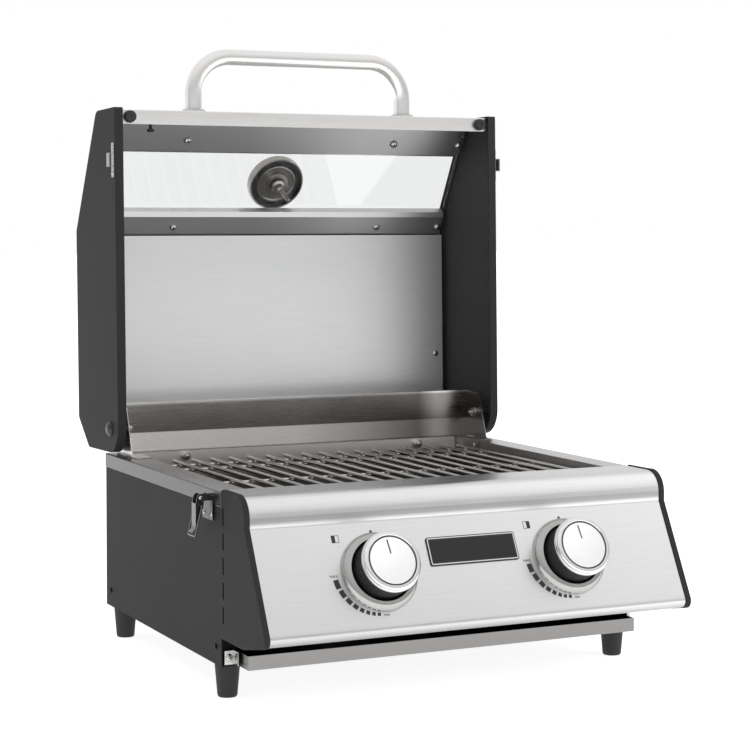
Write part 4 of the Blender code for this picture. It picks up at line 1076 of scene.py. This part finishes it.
def build_lid_skin():
    """The folded outer sheet, with its lip and the cut-outs for window and cheeks."""
    under = inset(cheek_corners(), SKIN_INSET)
    front = under[0][1]
    lip_y = LIP_DEPTH - HINGE_DEPTH
    line = rounded([
        (lip_y, front - LIP_WIDTH, 0), (lip_y, front, 0.0015), under[1], under[2], under[3],
        under[4], (under[4][0] - SKIN_RETURN, under[4][1], 0),
    ], closed=False, steps=12)
    half = CHEEK_X - PANEL - SKIN_GAP
    bm = bmesh.new()
    add_folded(bm, line, -SKIN_T, -half, half)
    obj = finish_object("lid_shell", bm, LID_STEEL, "lid", LID, "brushed_stainless", ("lid_skin",))
    low = (-WINDOW_HALF_X, -WINDOW_HALF, -0.02)
    carve(obj, box_cutter(low, (WINDOW_HALF_X, WINDOW_HALF, 0.02), DIAL))
    for side in (-1, 1):
        xs = sorted((side * LIP_HALF_X, side * 0.3))
        low = (xs[0], -0.05, front - LIP_WIDTH - 0.01)
        carve(obj, box_cutter(low, (xs[1], lip_y + 0.003, front - 0.0012), LID))


BUMPER = mm(
    (0, 6.6), (1.2, 6.6), (1.4, 7.8), (5.6, 7.9), (6.6, 7.5), (7.4, 6.6), (7.9, 5), (8.2, 0.6),
    (8.1, 0), (0, 0),
)
LIP_STUD = mm((0, 12), (3.6, 12), (5, 10.2), (4.6, 8.2), (2, 7.4), (2, 0), (0, 0))


def add_slant_strip(name, start, end, thickness, mat, slot):
    """A strip across the lid between two (along, out) spots near the slant."""
    bm = bmesh.new()
    line = [slant_point(*start), slant_point(*end)]
    add_folded(bm, line, thickness, -WINDOW_HALF_X, WINDOW_HALF_X)
    finish_object(name, bm, mat, "lid", LID, slot)


def build_lid_trim():
    """The glass's gasket, the retainer's fold, and the screws, bumpers and studs inside."""
    add_slant_strip("window_gasket", (0.2942, -0.0092), (0.2895, -0.0161), 0.0006,
                    GASKET, "black_rubber")
    add_slant_strip("retainer_fold", (0.2886, -0.016), (0.2826, -0.0187), 0.0004,
                    STEEL, "grey_stainless")
    turn = LID.to_3x3()
    inward = (turn @ Vector((0, -SLANT_OUT.y, -SLANT_OUT.x))).normalized()
    places = [
        towards(LID @ Vector((x, *slant_point(along, RETAINER_OUT))) + inward * RETAINER_T, inward)
        for x, along in RETAINER_SCREWS
    ]
    screws("retainer_screws", places, 0.0054, "lid")
    face, down = turn @ Vector((0, -1, 0)), turn @ Vector((0, 0, -1))
    liner = [
        towards(LID @ Vector((x, 0.1514 - HINGE_DEPTH, 0.08)), face) for x in (-0.261, 0.261)
    ]
    screws("liner_screws", liner, 0.005, "lid")
    for tag, side in SIDES:
        spot = LID @ Vector((side * 0.2595, LIP_DEPTH - HINGE_DEPTH - 0.0003, 0.41))
        turned(f"bumper_{tag}", BUMPER, RUBBER, "lid", towards(spot, face), 32,
               slot="black_rubber", replaces=(f"lid_bumper_{tag}",))
        stud = LID @ Vector((0.005 + side * 0.232, 0.018 - HINGE_DEPTH, 0.403))
        turned(f"lip_stud_{tag}", LIP_STUD, RUBBER, "lid", towards(stud, down), 24,
               slot="black_rubber")


HANDLE_X, HANDLE_DEPTH, HANDLE_R = 0.1564, 0.045, 0.01145
HANDLE_TOP, HANDLE_BEND = 0.4958, 0.052
HANDLE_FLANGE = mm((0, 5.6), (11.8, 5.6), (15, 4.2), (17.2, 2), (17.6, 0.6), (17.6, 0), (0, 0))


def build_handle():
    """A bent tube on two flanges."""
    foot = CHEEK[0][0] - SKIN_INSET + 0.0003
    y = HANDLE_DEPTH - HINGE_DEPTH
    straight = HANDLE_TOP - HANDLE_BEND
    inside = HANDLE_X - HANDLE_BEND
    bend = [(inside + x, y, straight + z) for x, z in arc(HANDLE_BEND, 0, math.pi / 2, 16)]
    right = [(HANDLE_X, y, foot), (HANDLE_X, y, (foot + straight) / 2)] + bend
    left = [(-x, y, z) for x, y, z in reversed(right)]
    bm = bmesh.new()
    add_tube(bm, right + left, HANDLE_R, 40)
    for x in (-HANDLE_X, HANDLE_X):
        add_turned_at(bm, Matrix.Translation((x, y, foot)), HANDLE_FLANGE, 48, [1] * 6)
    finish_object("handle_bar", bm, [STEEL_HANDLE, ZINC], "lid", LID,
                  "brushed_stainless", ("lid_handle",))


THERMO_R = 0.0405
PANE_INSIDE = -0.0076  # the glass's inner face in the dial's frame
CASE_RIM = mm(  # (distance in from the case's radius, height)
    (3.6, 10), (3, 10.8), (1.4, 10.8), (0.2, 9.8), (0, 8), (0, 1), (0.6, -1.3), (1.8, -2.3),
    (3, -1.9), (3.6, -0.7), (3.8, 2.6),
)
CASE_BACK = mm(
    (29.2, 2.6), (28.2, 0.4), (26.4, 0), (25, 1.2), (18, 1.2), (16.8, -0.6), (12, -1.2),
    (11.8, -3.3), (4.5, -3.3), (4.5, 5), (36.3, 5),
)
PROBE = mm(  # (radius, height from the glass's inner face)
    (4.2, -0.3), (9.8, -0.3), (9.8, -2.8), (6.2, -4), (5.8, -12), (4.6, -13.4), (3.6, -14),
    (3.2, -15), (3.2, -41), (2.2, -42.6), (0, -43),
)
WING = mm((4, -7), (10, -8.5), (13.2, -13.2))  # one wing of the nut, from the same face
TICKS, FIRST_TICK, TICK_STEP = 28, 225, 10  # the last two in degrees


def build_thermometer():
    """Case, dial with ticks, lens, and the probe with its wing nut inside the lid."""
    case = [(THERMO_R - r, z) for r, z in CASE_RIM] + CASE_BACK
    bands = [0] * len(case)
    # The rim's inner wall and the band inside it are painted dark: painted shadow of the rim.
    bands[9] = bands[10] = 1
    turned("dial_case", case, [ALUMINIUM, GROOVE_SHADE], "lid", DIAL, 72, True, bands,
           slot="dial_aluminium", replaces=("thermometer_case",))
    edge = THERMO_R - 0.0043
    face = [(0.0, 0.0056), (edge, 0.0056), (edge, 0.0051), (0.0, 0.0051)]
    turned("dial_plate", face, DIAL_FACE, "lid", DIAL, 72, slot="dial_aluminium")
    bm = bmesh.new()
    for mark in range(TICKS):
        inner, half = (0.03, 0.0003) if mark % 3 else (0.0275, 0.0006)
        turn = Matrix.Rotation(math.radians(FIRST_TICK - mark * TICK_STEP), 4, "Z")
        add_box(bm, (inner, -half, 0.00562), (0.0335, half, 0.00572), turn)
    finish_object("dial_ticks", bm, INK, "lid", DIAL, "black_plastic")
    edge = THERMO_R - 0.0038
    lens = [(0.0, 0.0104), (THERMO_R - 0.006, 0.01), (edge, 0.0096), (edge, 0.009),
            (0.0, 0.0094)]
    turned("dial_lens", lens, GLASS, "lid", DIAL, 72, slot="window_glass")
    bm = bmesh.new()
    probe = [(0.0, 0.0055), (0.0042, 0.0055)] + [(r, PANE_INSIDE + out) for r, out in PROBE]
    add_turned(bm, probe, 32)
    for way in (-1, 1):
        wing = smooth_path([(way * x, 0, PANE_INSIDE + out) for x, out in WING], 0.003, 5)
        add_tube(bm, wing, 0.0012, 12, 0.0006)
    finish_object("probe_stem", bm, ALUMINIUM, "lid", DIAL, "zinc_steel", ("thermometer_probe",))


# ---- stage
WHITE = (1.0, 1.0, 1.0, 1.0)
FLOOR_COLOR, FLOOR_GLOW = (0.6, 0.6, 0.6), 0.8
STUDIO_DIM = 0.6  # brightness of the room in front, against the white background
BACK_SPAN, TOP_SPAN = (0.0, 0.35), (0.2, 0.8)  # where the room grows white, along Y and Z
TARGET = (0, 0, 0.3)
SOFTBOXES = (  # name, position, size, power
    ("key", (0.5, -3.0, 2.7), (2.2, 1.6), 48),
    ("fill", (2.8, -2.0, 1.6), (1.6, 1.6), 22),
)
CAMERA_OFFSET = Vector((-1.09861, -2.13476, 0.55087))  # from the seam's middle, on the floor
CAMERA_TURN = (math.radians(90.0 - 2.2), 0.0, -0.44565)
CAMERA_LENS, CAMERA_SHIFT = 95.43, -0.10502


def build_floor():
    bm = bmesh.new()
    bmesh.ops.create_grid(bm, x_segments=1, y_segments=1, size=30.0)
    mesh = bpy.data.meshes.new("floor")
    bm.to_mesh(mesh)
    bm.free()
    mesh.materials.append(new_material("pale_floor", FLOOR_COLOR, 0.9, Emission_Color=WHITE,
                                       Emission_Strength=FLOOR_GLOW))
    add_object("floor", mesh)


def build_world():
    """White behind the object and above it, dimmer in front and at the sides."""
    world = bpy.data.worlds.new("studio")
    world.use_nodes = True
    bpy.context.scene.world = world
    back = world.node_tree.nodes["Background"]
    set_inputs(back, Color=WHITE)
    coords = split_coords(world, "Generated")
    levels = [
        map_range(world, coords[axis], STUDIO_DIM, 1.0, *span)
        for axis, span in (("Y", BACK_SPAN), ("Z", TOP_SPAN))
    ]
    brightness = add_math(world, "MAXIMUM", *levels)
    world.node_tree.links.new(brightness, back.inputs["Strength"])


def add_softbox(name, position, size, power):
    """A lamp that lights the object but isn't mirrored in it."""
    lamp = bpy.data.lights.new(name, "AREA")
    lamp.shape = "RECTANGLE"
    lamp.size, lamp.size_y = size
    lamp.energy = power
    holder = add_object(name, lamp)
    holder.visible_glossy = False
    holder.location = position
    aim = Vector(TARGET) - Vector(position)
    holder.rotation_euler = aim.to_track_quat("-Z", "Y").to_euler()


def build_camera():
    lens = bpy.data.cameras.new("camera")
    lens.sensor_width = 36.0
    lens.lens = CAMERA_LENS
    lens.shift_y = CAMERA_SHIFT
    lens.clip_start, lens.clip_end = 0.05, 100.0
    camera = add_object("camera", lens)
    camera.location = at(*CAMERA_OFFSET)
    camera.rotation_euler = CAMERA_TURN
    bpy.context.scene.camera = camera


def build_stage():
    build_floor()
    build_world()
    for softbox in SOFTBOXES:
        add_softbox(*softbox)
    build_camera()
    bpy.context.scene.view_settings.view_transform = "Standard"


# ---- build
dress_nodes()
build_console_panel()
build_badge()
build_feet()
build_hinge_bolts()
build_firebox_fittings()
build_grate()
for TAG, SIDE in SIDES:
    build_console_end(TAG, SIDE)
    build_knob(TAG)
    build_dial_marks(TAG)
    build_latch(TAG, SIDE)
    build_cheek(TAG, SIDE)
build_lid_skin()
build_lid_trim()
build_handle()
build_thermometer()
build_stage()
